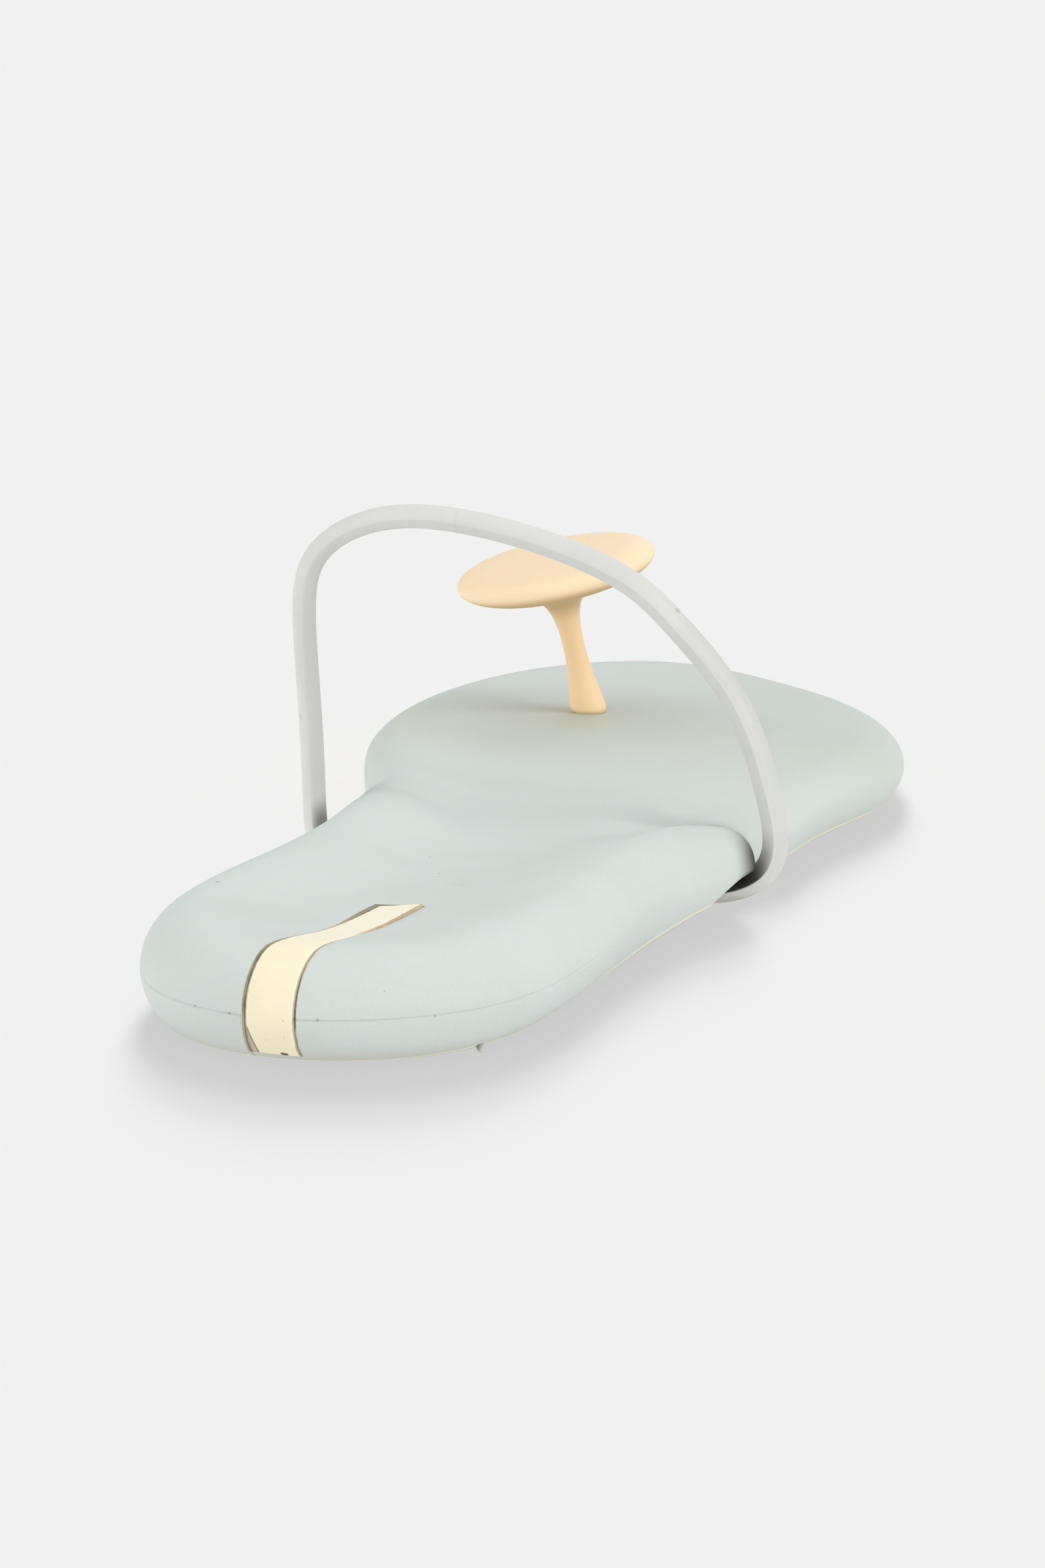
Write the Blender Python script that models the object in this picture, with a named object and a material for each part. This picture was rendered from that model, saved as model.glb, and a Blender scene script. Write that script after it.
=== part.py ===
"""Right-foot toe-post sandal, modelled in metres with +Z up and +Y towards the toe.

A moulded sole carries three pieces: a ring strap that passes under the waist, a toe post plugged into the
forefoot, and a tape laid flush in a channel over the back of the heel. The origin is on the floor, under the
middle of the sole.
"""

import bmesh
import bpy
import numpy as np

# Clearance between pieces that meet
GAP = 0.0003

# Widest outline of the sole: across (+X is the outer side of the foot), along (+Y is the toe)
OUTLINE = {
    "heel_back": (-0.0046, -0.1300),
    "heel_back_outer": (0.0180, -0.1184),
    "heel_outer": (0.0267, -0.0946),
    "shank_outer": (0.0301, -0.0593),
    "waist_outer": (0.0387, -0.0208),
    "ball_rear_outer": (0.0423, 0.0156),
    "ball_outer": (0.0492, 0.0489),
    "little_toe": (0.0384, 0.0904),
    "toe_outer": (0.0152, 0.1165),
    "toe_tip": (-0.0110, 0.1300),
    "big_toe": (-0.0390, 0.1111),
    "ball_inner": (-0.0492, 0.0593),
    "ball_rear_inner": (-0.0386, 0.0156),
    "waist_inner": (-0.0302, -0.0177),
    "shank_inner": (-0.0301, -0.0520),
    "heel_inner": (-0.0378, -0.0936),
    "heel_back_inner": (-0.0269, -0.1219),
}

# Sections of the sole from heel to toe: heights of the rim on both sides, of the footbed's middle and of the
# mould's parting line, inset of the bottom edge, and reach of the rim's slope into the footbed
ALONG, INNER_RIM, OUTER_RIM, MIDDLE, PARTING, BOTTOM_INSET, RIM_REACH = range(7)
SECTIONS = np.array(
    (
        (-0.130, 0.0155, 0.0155, 0.0140, 0.0070, 0.0046, 0.0115),
        (-0.095, 0.0157, 0.0156, 0.0135, 0.0070, 0.0062, 0.0115),
        (-0.068, 0.0164, 0.0159, 0.0138, 0.0070, 0.0048, 0.0115),
        (-0.048, 0.0177, 0.0162, 0.0142, 0.0073, 0.0049, 0.0105),
        (-0.038, 0.0185, 0.0158, 0.0143, 0.0075, 0.0053, 0.0093),
        (-0.032, 0.0186, 0.0151, 0.0143, 0.0077, 0.0062, 0.0086),
        (-0.027, 0.0183, 0.0137, 0.0143, 0.0078, 0.0080, 0.0081),
        (-0.021, 0.0177, 0.0121, 0.0141, 0.0079, 0.0082, 0.0078),
        (-0.014, 0.0171, 0.0122, 0.0140, 0.0079, 0.0078, 0.0078),
        (0.004, 0.0156, 0.0124, 0.0134, 0.0075, 0.0080, 0.0080),
        (0.026, 0.0138, 0.0124, 0.0126, 0.0070, 0.0090, 0.0090),
        (0.045, 0.0126, 0.0121, 0.0118, 0.0066, 0.0092, 0.0100),
        (0.057, 0.0120, 0.0119, 0.0114, 0.0063, 0.0092, 0.0110),
        (0.090, 0.0115, 0.0115, 0.0112, 0.0064, 0.0090, 0.0115),
        (0.130, 0.0113, 0.0113, 0.0112, 0.0085, 0.0080, 0.0115),
    )
)
# How fast the outer side's crest falls back towards the heel, times the root of the distance from the edge
CREST_BEND = 0.13
# Half width of the change from the inner rim's height to the outer rim's
SIDE_BLEND = 0.006

# Underside without the strap's channel, as rows of (along, height): flat heel and forefoot, arch, toe spring
UNDERSIDE = np.array(
    (
        (-0.130, 0.0002),
        (-0.116, 0.0000),
        (-0.066, 0.0000),
        (-0.028, 0.0016),
        (0.014, 0.0000),
        (0.082, 0.0000),
        (0.112, 0.0012),
        (0.130, 0.0027),
    )
)
# Channel under the waist that takes the strap: depth, and half lengths of its floor and of its mouth
CHANNEL_DEPTH = 0.0034
CHANNEL_HALF_FLOOR = 0.0042
CHANNEL_HALF_MOUTH = 0.0145

# Inset of the rounded side's top edge
TOP_EDGE_INSET = 0.0083
# Blunt nose of the heel's pad at the outer side of the waist, where the side's top edge is inset less
NOSE_FILL = 0.0040
NOSE_ALONG = -0.0295
NOSE_REACH = 0.0060

# Outer waist as rows of (along, inset): the nose swells, with negative insets, then a notch takes the strap
NOTCH = np.array(
    (
        (-0.0420, 0.0000),
        (-0.0310, -0.0012),
        (-0.0268, -0.0016),
        (-0.0212, 0.0045),
        (-0.0180, 0.0045),
        (-0.0010, 0.0000),
    )
)

# Soft folds of the footbed: reach on the heel's side and the toe's side, and rows of (across, along, depth)
FOLDS = {
    "toe_valley": (
        (0.0150, 0.0075),
        ((-0.0420, 0.0785, 0.0), (-0.0300, 0.0770, 0.0002), (0.0220, 0.0706, 0.0002), (0.0350, 0.0690, 0.0)),
    ),
    "outer_waist_fold": (
        (0.0035, 0.0045),
        (
            (0.0420, -0.0205, 0.0018),
            (0.0355, -0.0195, 0.0018),
            (0.0320, -0.0188, 0.0011),
            (0.0290, -0.0195, 0.0005),
            (0.0262, -0.0222, 0.0003),
            (0.0205, -0.0335, 0.0001),
            (0.0160, -0.0405, 0.0),
        ),
    ),
    "inner_waist_fold": (
        (0.0030, 0.0040),
        (
            (-0.0300, -0.0330, 0.0001),
            (-0.0240, -0.0325, 0.0003),
            (-0.0118, -0.0305, 0.0002),
            (-0.0030, -0.0255, 0.0),
        ),
    ),
}

# Stations crowd together round the waist
STATION_CROWDING = 1.8
STATION_CROWDING_REACH = 0.020
WAIST_ALONG = -0.024
SOLE_STATIONS = 70
TOP_ANGLES = np.radians((20, 40, 58, 75, 90))
BOTTOM_ANGLES = np.radians((-90, -65, -35, 0))
TOP_COLUMNS = 12
UNDERSIDE_COLUMNS = 6
# Points along the sole's edge that distances and station places are worked out from
EDGE_SAMPLES = 400
STATION_SAMPLES = 1000

# Ring strap: a closed route in an upright plane, as (across, height)
STRAP_INNER_ALONG = -0.0320
STRAP_OUTER_ALONG = -0.0230
STRAP_ROUTE = {
    "under_inner": (-0.0120, 0.0027),
    "inner_corner_start": (-0.0250, 0.0028),
    "inner_corner": (-0.0304, 0.0047),
    "inner_corner_end": (-0.0324, 0.0100),
    "inner_leg_low": (-0.0329, 0.0200),
    "inner_leg_mid": (-0.0335, 0.0330),
    "inner_leg_high": (-0.0341, 0.0465),
    "shoulder_low": (-0.0328, 0.0544),
    "shoulder": (-0.0280, 0.0594),
    "shoulder_top": (-0.0195, 0.0622),
    "crown": (-0.0077, 0.0616),
    "slope_high": (0.0074, 0.0576),
    "slope_mid": (0.0189, 0.0520),
    "slope_low": (0.0255, 0.0459),
    "outer_leg_top": (0.0329, 0.0371),
    "outer_leg_high": (0.0372, 0.0292),
    "outer_leg_mid": (0.0400, 0.0205),
    "outer_leg_low": (0.0417, 0.0110),
    "hook": (0.0399, 0.0059),
    "hook_low": (0.0345, 0.0031),
    "under_outer": (0.0220, 0.0027),
}
STRAP_HALF_WIDTH = 0.0032
STRAP_INNER_HALF_THICKNESS = 0.00185
STRAP_OUTER_HALF_THICKNESS = 0.00210
STRAP_LENS_POWER = 1.45
STRAP_STATIONS = 84
STRAP_SIDES = 16

# Toe post: where it stands, how far its top leans for each metre of height, and its rows
POST_FOOT = (-0.0125, 0.0726)
POST_LEAN = (-0.19, -0.19)
POST_UPRIGHT_HEIGHT = 0.008
PLUG_RADIUS = 0.0026
PLUG_DEPTH = 0.0042
POST_SIDES = 32
# Rows of (height above the footbed, half length across, half length along)
POST_ROWS = (
    (0.0000, 0.00290, 0.00290),
    (0.0006, 0.00322, 0.00322),
    (0.0016, 0.00325, 0.00325),
    (0.0035, 0.00292, 0.00292),
    (0.0065, 0.00240, 0.00240),
    (0.0100, 0.00208, 0.00208),
    (0.0140, 0.00202, 0.00202),
    (0.0170, 0.00230, 0.00230),
    (0.0190, 0.00275, 0.00275),
    (0.0206, 0.00345, 0.00345),
    (0.0221, 0.00490, 0.00480),
    (0.0234, 0.00830, 0.00760),
    (0.0242, 0.01320, 0.01140),
    (0.0249, 0.01630, 0.01370),
    (0.0258, 0.01800, 0.01500),
    (0.0268, 0.01865, 0.01555),
    (0.0279, 0.01820, 0.01515),
    (0.0286, 0.01690, 0.01400),
    (0.0290, 0.01400, 0.01150),
    (0.0292, 0.00800, 0.00660),
)
POST_TOP_HEIGHT = 0.0293

# Heel tape: its centre line on the footbed, its width and its thickness
TAPE_END = (-0.0014, -0.0896)
TAPE_BACK = (-0.0086, -0.1300)
TAPE_END_WIDTH = 0.0062
TAPE_BACK_WIDTH = 0.0070
TAPE_THICKNESS = 0.0010
TAPE_LAST_ANGLE = np.radians(-52)
TAPE_CHANNEL_LAST_ANGLE = np.radians(-55)
TAPE_CHANNEL_PROUD = 0.0010
# How far the tape's outer edge stands proud, on the footbed and on the back of the heel; it lies askew
TAPE_TOP_PROUD = 0.0005
TAPE_BACK_PROUD = 0.0001
TAPE_TOP_ROWS = 7
TAPE_EDGE_ROWS = 12
TAPE_COLUMNS = 4
# Stretch of the sole's edge searched for the tape, on both sides of the back of the heel
HEEL_SPAN = 0.12
HEEL_SAMPLES = 200

# Colours (linear), roughness
FINISHES = {
    "sole": ((0.64, 0.71, 0.69), 0.62),
    "strap": ((0.71, 0.72, 0.68), 0.38),
    "toe_post": ((0.89, 0.70, 0.47), 0.45),
    "heel_tape": ((0.96, 0.90, 0.69), 0.55),
}


def flowing(rows, along):
    """Values on a monotone cubic through the rows, so that a flat run stays flat and nothing overshoots."""
    knots, values = rows.T
    along = np.clip(along, knots[0], knots[-1])
    secants = np.diff(values) / np.diff(knots)
    before, after = secants[:-1], secants[1:]
    same_way = before * after > 0
    total = np.where(same_way, before + after, 1.0)
    slopes = np.concatenate([[0.0], np.where(same_way, 2 * before * after / total, 0.0), [0.0]])
    cell = np.clip(np.searchsorted(knots, along, side="right") - 1, 0, len(knots) - 2)
    span = knots[cell + 1] - knots[cell]
    share = (along - knots[cell]) / span
    rise = share * share * (3 - 2 * share)
    start = share * (1 - share) ** 2
    end = share * share * (share - 1)
    level = values[cell] + (values[cell + 1] - values[cell]) * rise
    return level + span * (slopes[cell] * start + slopes[cell + 1] * end)


class ClosedCurve:
    """Periodic cubic through points in a plane; its parameter grows by the square root of each chord."""

    def __init__(self, points):
        self.points = np.array(list(points))
        count = len(self.points)
        self.steps = np.sqrt(np.linalg.norm(np.roll(self.points, -1, axis=0) - self.points, axis=1))
        self.knots = np.concatenate([[0.0], np.cumsum(self.steps)])
        chords = (np.roll(self.points, -1, axis=0) - self.points) / self.steps[:, None]
        last = np.roll(self.steps, 1)
        system = np.zeros((count, count))
        for row in range(count):
            system[row, row] = 2 * (last[row] + self.steps[row])
            system[row, (row - 1) % count] += last[row]
            system[row, (row + 1) % count] += self.steps[row]
        self.bends = np.linalg.solve(system, 6 * (chords - np.roll(chords, 1, axis=0)))

    def at(self, place):
        """Positions and unit tangents at an array of parameters."""
        place = np.mod(place, self.knots[-1])
        cell = np.clip(np.searchsorted(self.knots, place, side="right") - 1, 0, len(self.points) - 1)
        following = (cell + 1) % len(self.points)
        step = self.steps[cell][..., None]
        done = (place - self.knots[cell])[..., None]
        left = step - done
        first, second = self.points[cell], self.points[following]
        bend_1, bend_2 = self.bends[cell], self.bends[following]
        position = (
            (bend_1 * left**3 + bend_2 * done**3) / (6 * step)
            + (first / step - bend_1 * step / 6) * left
            + (second / step - bend_2 * step / 6) * done
        )
        tangent = (
            (bend_2 * done**2 - bend_1 * left**2) / (2 * step)
            + (second - first) / step
            - (bend_2 - bend_1) * step / 6
        )
        return position, tangent / np.linalg.norm(tangent, axis=-1, keepdims=True)


SOLE_EDGE = ClosedCurve(OUTLINE.values())
TOE_PLACE = SOLE_EDGE.knots[list(OUTLINE).index("toe_tip")]
EDGE_END = SOLE_EDGE.knots[-1]


def section(column, along):
    """A column of the sections table at places along the sole."""
    return flowing(SECTIONS[:, (ALONG, column)], along)


def strap_along(across):
    """Along position of the strap's middle plane, which runs slightly askew."""
    inner, outer = STRAP_ROUTE["inner_leg_high"][0], STRAP_ROUTE["outer_leg_low"][0]
    skew = (STRAP_OUTER_ALONG - STRAP_INNER_ALONG) / (outer - inner)
    return STRAP_INNER_ALONG + skew * (across - inner)


def edge_inset(angle, plan):
    """Inset of the rounded side at an angle: 0 at the parting line, 90 degrees on top and -90 underneath."""
    across, along = plan[..., 0], plan[..., 1]
    nose = np.where(across > 0, NOSE_FILL * np.exp(-(((along - NOSE_ALONG) / NOSE_REACH) ** 2)), 0.0)
    return np.where(angle > 0, TOP_EDGE_INSET - nose, section(BOTTOM_INSET, along)) * (1 - np.cos(angle))


def edge_plan(place, angle):
    """Plan points of the sole's side at curve parameters: the outline moved inwards by inset and notch."""
    position, tangent = SOLE_EDGE.at(place)
    outward = np.stack([tangent[..., 1], -tangent[..., 0]], axis=-1)
    dent = np.where(position[..., 0] > 0, flowing(NOTCH, position[..., 1]), 0.0)
    return position - outward * (edge_inset(angle, position) + dent)[..., None]


def rim_height(plan, inside=0.0):
    """Height of the rim: the inner side's, passing smoothly to the outer side's across the middle.

    Inside the edge the outer side's crest falls back towards the heel.
    """
    outer_share = 1 / (1 + np.exp(-plan[..., 0] / SIDE_BLEND))
    inner = section(INNER_RIM, plan[..., 1])
    outer = section(OUTER_RIM, plan[..., 1] + CREST_BEND * np.sqrt(inside))
    return inner + (outer - inner) * outer_share


def fold_depth(plan):
    """Depth of the soft folds: a bell curve of the distance to each fold's route, wider on one side of it."""
    total = np.zeros(plan.shape[:-1])
    for (heel_reach, toe_reach), route in FOLDS.values():
        nearest = np.full(plan.shape[:-1], np.inf)
        fold = np.zeros(plan.shape[:-1])
        for start, end in zip(np.array(route[:-1]), np.array(route[1:])):
            stretch = end[:2] - start[:2]
            away = plan - start[:2]
            share = np.clip(away @ stretch / (stretch @ stretch), 0, 1)
            distance = np.linalg.norm(away - share[..., None] * stretch, axis=-1)
            toewards = (stretch[0] * away[..., 1] - stretch[1] * away[..., 0]) * np.sign(stretch[0]) > 0
            reach = np.where(toewards, toe_reach, heel_reach)
            depth = (start[2] + (end[2] - start[2]) * share) * np.exp(-((distance / reach) ** 2))
            fold = np.where(distance < nearest, depth, fold)
            nearest = np.minimum(distance, nearest)
        total += fold
    return total


def underside_height(plan):
    """Height of the underside: arch and toe spring, and the strap's channel with its sloping sides."""
    aside = np.abs(plan[..., 1] - strap_along(plan[..., 0]))
    share = np.clip((CHANNEL_HALF_MOUTH - aside) / (CHANNEL_HALF_MOUTH - CHANNEL_HALF_FLOOR), 0, 1)
    return flowing(UNDERSIDE, plan[..., 1]) + CHANNEL_DEPTH * share * share * (3 - 2 * share)


def raised(plan, height):
    """Plan points with their heights as the third coordinate."""
    return np.concatenate([plan, height[..., None]], axis=-1)


def edge_points(place, angle):
    """Points of the sole's rounded side at curve parameters and angles."""
    place, angle = np.broadcast_arrays(place, angle)
    plan = edge_plan(place, angle)
    parting = section(PARTING, plan[..., 1])
    limit = np.where(angle > 0, rim_height(plan) - fold_depth(plan), underside_height(plan))
    return raised(plan, parting + (limit - parting) * np.abs(np.sin(angle)))


FOOTBED_EDGE = edge_plan(np.linspace(0, EDGE_END, EDGE_SAMPLES, endpoint=False), np.pi / 2)


def footbed_points(plan):
    """Points of the footbed: the rim's height at its edge, fading to the middle's inside, less the folds."""
    offsets = plan[..., None, :] - FOOTBED_EDGE
    inside = np.sqrt((offsets**2).sum(axis=-1).min(axis=-1))
    middle = section(MIDDLE, plan[..., 1])
    fade = np.exp(-((inside / section(RIM_REACH, plan[..., 1])) ** 2))
    return raised(plan, middle + (rim_height(plan, inside) - middle) * fade - fold_depth(plan))


def finish(name):
    """Principled material with the piece's colour and roughness."""
    colour, roughness = FINISHES[name]
    material = bpy.data.materials.new(name)
    material.use_nodes = True
    shader = material.node_tree.nodes["Principled BSDF"]
    shader.inputs["Base Color"].default_value = (*colour, 1.0)
    shader.inputs["Roughness"].default_value = roughness
    shader.inputs["Metallic"].default_value = 0.0
    return material


def closed_object(name, points, faces):
    """Object with a smooth-shaded closed mesh whose faces point outwards."""
    mesh = bpy.data.meshes.new(name)
    mesh.from_pydata([tuple(point) for point in points], [], faces)
    work = bmesh.new()
    work.from_mesh(mesh)
    bmesh.ops.recalc_face_normals(work, faces=work.faces)
    work.to_mesh(mesh)
    work.free()
    mesh.shade_smooth()
    piece = bpy.data.objects.new(name, mesh)
    bpy.context.collection.objects.link(piece)
    return piece


def piece_object(name, points, faces):
    piece = closed_object(name, points, faces)
    piece.data.materials.append(finish(name))
    return piece


def cut(piece, cutter):
    """Takes the cutter's volume out of the piece and hides the cutter."""
    cutter.hide_render = True
    cutter.display_type = "WIRE"
    boolean = piece.modifiers.new(cutter.name, "BOOLEAN")
    boolean.operation = "DIFFERENCE"
    boolean.solver = "EXACT"
    boolean.object = cutter


def band_faces(lower, upper):
    """Quads between two rings of vertex numbers."""
    count = len(lower)
    quads = []
    for place in range(count):
        following = (place + 1) % count
        quads.append((lower[place], lower[following], upper[following], upper[place]))
    return quads


def sheet_faces(ring, inner):
    """Faces that close a ring with SOLE_STATIONS vertices on each side, through rows of inner vertices."""
    rows = []
    for station in range(1, SOLE_STATIONS):
        rows.append([ring[station], *inner[station - 1], ring[-station]])
    faces = []
    for row, following in zip(rows, rows[1:]):
        for column in range(len(row) - 1):
            faces.append((row[column], following[column], following[column + 1], row[column + 1]))
    for pole, row in ((ring[0], rows[0]), (ring[SOLE_STATIONS], rows[-1])):
        for column in range(len(row) - 1):
            faces.append((pole, row[column], row[column + 1]))
    return faces


def sheet_plan(ring_plan, columns):
    """Plan points between the two sides of a ring, one row for each station."""
    outer = ring_plan[1:SOLE_STATIONS]
    inner = ring_plan[:SOLE_STATIONS:-1]
    share = (np.arange(1, columns) / columns)[None, :, None]
    return outer[:, None] * (1 - share) + inner[:, None] * share


def station_places(start, end):
    """Curve parameters of one side's stations from start up to end, closer together round the waist."""
    fine = np.linspace(start, end, STATION_SAMPLES)
    along = SOLE_EDGE.at(fine)[0][:, 1]
    weight = 1 + STATION_CROWDING * np.exp(-(((along - WAIST_ALONG) / STATION_CROWDING_REACH) ** 2))
    reached = np.concatenate([[0.0], np.cumsum((weight[1:] + weight[:-1]) / 2)])
    return np.interp(np.arange(SOLE_STATIONS) / SOLE_STATIONS * reached[-1], reached, fine)


def make_sole():
    """Rings up the rounded side, closed by the footbed above and the underside below."""
    places = np.concatenate([station_places(0, TOE_PLACE), station_places(TOE_PLACE, EDGE_END)])
    angles = np.concatenate([BOTTOM_ANGLES, TOP_ANGLES])
    rings = edge_points(places[None, :], angles[:, None])
    ring_size = len(places)
    footbed = footbed_points(sheet_plan(rings[-1, :, :2], TOP_COLUMNS))
    underside_plan = sheet_plan(rings[0, :, :2], UNDERSIDE_COLUMNS)
    underside = raised(underside_plan, underside_height(underside_plan))
    points = np.concatenate([rings.reshape(-1, 3), footbed.reshape(-1, 3), underside.reshape(-1, 3)])

    numbers = np.arange(rings[..., 0].size).reshape(len(angles), ring_size)
    footbed_numbers = numbers.size + np.arange(footbed[..., 0].size).reshape(footbed.shape[:2])
    underside_start = numbers.size + footbed_numbers.size
    underside_numbers = underside_start + np.arange(underside[..., 0].size).reshape(underside.shape[:2])
    faces = []
    for lower, upper in zip(numbers, numbers[1:]):
        faces += band_faces(lower, upper)
    faces += sheet_faces(numbers[-1], footbed_numbers)
    faces += sheet_faces(numbers[0], underside_numbers)
    return piece_object("sole", points, faces)


def make_strap():
    """Lens-shaped section, ridged along its front and rear edges, carried round the closed route.

    It is thinner on the inner leg.
    """
    route = ClosedCurve(STRAP_ROUTE.values())
    places = np.linspace(0, route.knots[-1], STRAP_STATIONS, endpoint=False)
    position, tangent = route.at(places)
    inner, outer = position[:, 0].min(), position[:, 0].max()
    sideways = np.array([outer - inner, strap_along(outer) - strap_along(inner), 0.0])
    sideways /= np.linalg.norm(sideways)
    lengthways = np.array([-sideways[1], sideways[0], 0.0])
    upwards = np.array([0.0, 0.0, 1.0])

    share = ((position[:, 0] - inner) / (outer - inner))[:, None]
    centre = np.column_stack([position[:, 0], strap_along(position[:, 0]), position[:, 1]])
    radial = tangent[:, 1:] * sideways - tangent[:, :1] * upwards
    half_thickness = STRAP_INNER_HALF_THICKNESS * (1 - share) + STRAP_OUTER_HALF_THICKNESS * share
    turn = np.linspace(0, 2 * np.pi, STRAP_SIDES, endpoint=False)
    out = np.sign(np.cos(turn)) * np.abs(np.cos(turn)) ** STRAP_LENS_POWER
    points = (
        centre[:, None]
        + radial[:, None] * (half_thickness * out)[..., None]
        + lengthways * (STRAP_HALF_WIDTH * np.sin(turn))[None, :, None]
    )
    numbers = np.arange(STRAP_STATIONS * STRAP_SIDES).reshape(STRAP_STATIONS, STRAP_SIDES)
    faces = []
    for station in range(STRAP_STATIONS):
        faces += band_faces(numbers[station], numbers[(station + 1) % STRAP_STATIONS])
    return piece_object("strap", points.reshape(-1, 3), faces)


def make_toe_post(foot):
    """Oval rings up a leaning axis; they turn from level at the foot to square to the axis higher up."""
    axis = np.array([*POST_LEAN, 1.0])
    unit_axis = axis / np.linalg.norm(axis)
    upwards = np.array([0.0, 0.0, 1.0])
    turn = np.linspace(0, 2 * np.pi, POST_SIDES, endpoint=False)
    rings = []
    plug = PLUG_RADIUS * np.column_stack([np.cos(turn), np.sin(turn)])
    for depth in (-PLUG_DEPTH, -GAP):
        rings.append(foot + raised(plug, np.full(POST_SIDES, depth)))
    for height, half_across, half_along in POST_ROWS:
        share = min(height / POST_UPRIGHT_HEIGHT, 1.0)
        normal = upwards + (unit_axis - upwards) * share * share * (3 - 2 * share)
        normal /= np.linalg.norm(normal)
        across = np.cross([0.0, 1.0, 0.0], normal)
        across /= np.linalg.norm(across)
        along = np.cross(normal, across)
        ring = np.outer(half_across * np.cos(turn), across) + np.outer(half_along * np.sin(turn), along)
        rings.append(foot + axis * height + ring)
    points = np.concatenate([*rings, [foot + axis * POST_TOP_HEIGHT], [foot - upwards * PLUG_DEPTH]])
    numbers = np.arange(len(rings) * POST_SIDES).reshape(len(rings), POST_SIDES)
    top, bottom = len(points) - 2, len(points) - 1
    faces = []
    for lower, upper in zip(numbers, numbers[1:]):
        faces += band_faces(lower, upper)
    for place in range(POST_SIDES):
        following = (place + 1) % POST_SIDES
        faces.append((numbers[-1][place], numbers[-1][following], top))
        faces.append((numbers[0][following], numbers[0][place], bottom))
    return piece_object("toe_post", points, faces)


def make_socket(foot):
    """Round cutter for the blind socket that takes the post's plug."""
    turn = np.linspace(0, 2 * np.pi, POST_SIDES, endpoint=False)
    circle = (PLUG_RADIUS + GAP) * np.column_stack([np.cos(turn), np.sin(turn)])
    rings = []
    for depth in (-PLUG_DEPTH - GAP, PLUG_DEPTH):
        rings.append(foot + raised(circle, np.full(POST_SIDES, depth)))
    numbers = np.arange(2 * POST_SIDES).reshape(2, POST_SIDES).tolist()
    faces = [*band_faces(*numbers), tuple(numbers[0]), tuple(numbers[1])]
    return closed_object("socket_cutter", np.concatenate(rings), faces)


def tape_line(along):
    """Across position of the tape's centre line."""
    slope = (TAPE_END[0] - TAPE_BACK[0]) / (TAPE_END[1] - TAPE_BACK[1])
    return TAPE_BACK[0] + slope * (along - TAPE_BACK[1])


def tape_half_width(along):
    """Half width of the tape, which narrows towards its end on the footbed."""
    share = (along - TAPE_BACK[1]) / (TAPE_END[1] - TAPE_BACK[1])
    return (TAPE_BACK_WIDTH + (TAPE_END_WIDTH - TAPE_BACK_WIDTH) * share) / 2


def heel_band(margin, last_angle):
    """Grid of points on the sole's surface under the tape, from its end on the footbed to its lower end.

    Columns run across the tape, widened by margin on each side. On the rounded side a column's place is
    where the inset edge crosses it.
    """
    columns = np.linspace(-1, 1, TAPE_COLUMNS + 1)
    angles = np.concatenate(
        [np.linspace(np.pi / 2, 0, TAPE_EDGE_ROWS), np.linspace(0, last_angle, TAPE_EDGE_ROWS // 2)[1:]]
    )
    places = np.linspace(-HEEL_SPAN, HEEL_SPAN, HEEL_SAMPLES)
    edge_rows = []
    for angle in angles:
        plan = edge_plan(places, angle)
        aside = (plan[:, 0] - tape_line(plan[:, 1])) / (tape_half_width(plan[:, 1]) + margin)
        edge_rows.append(edge_points(np.interp(columns, aside, places), angle))
    share = np.linspace(0, 1, TAPE_TOP_ROWS, endpoint=False)[:, None]
    along = (TAPE_END[1] + margin) * (1 - share) + edge_rows[0][:, 1] * share
    plan = np.stack([tape_line(along) + columns * (tape_half_width(along) + margin), along], axis=-1)
    return np.concatenate([footbed_points(plan), np.array(edge_rows)])


def band_solid(name, grid, proud, depth, make):
    """Closed solid between the grid raised by proud and the grid sunk by depth."""
    lengthways, sideways = np.gradient(grid, axis=0), np.gradient(grid, axis=1)
    normal = np.cross(sideways, lengthways)
    normal /= np.linalg.norm(normal, axis=-1, keepdims=True)
    if normal[0, 0, 2] < 0:
        normal = -normal
    rows, columns = grid.shape[:2]
    points = np.concatenate([(grid + normal * proud).reshape(-1, 3), (grid - normal * depth).reshape(-1, 3)])
    outer = np.arange(rows * columns).reshape(rows, columns)
    inner = outer + rows * columns
    faces = []
    for sheet in (outer, inner):
        for row in range(rows - 1):
            for column in range(columns - 1):
                corner = sheet[row : row + 2, column : column + 2]
                faces.append((corner[0, 0], corner[0, 1], corner[1, 1], corner[1, 0]))
    rims = []
    for sheet in (outer, inner):
        rims.append([*sheet[0], *sheet[1:, -1], *sheet[-1, -2::-1], *sheet[-2:0:-1, 0]])
    faces += band_faces(*rims)
    return make(name, points, faces)


def make_heel_tape():
    """Solid on the band, which sinks from its height on the footbed to its height on the back of the heel."""
    grid = heel_band(0.0, TAPE_LAST_ANGLE)
    back = np.clip((np.arange(len(grid)) - TAPE_TOP_ROWS) / TAPE_EDGE_ROWS, 0, 1)[:, None]
    tilt = np.linspace(0, 1, TAPE_COLUMNS + 1)
    proud = ((TAPE_TOP_PROUD + (TAPE_BACK_PROUD - TAPE_TOP_PROUD) * back) * tilt)[..., None]
    return band_solid("heel_tape", grid, proud, TAPE_THICKNESS, piece_object)


def make_tape_channel():
    grid = heel_band(GAP, TAPE_CHANNEL_LAST_ANGLE)
    return band_solid("channel_cutter", grid, TAPE_CHANNEL_PROUD, TAPE_THICKNESS + GAP, closed_object)


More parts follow.
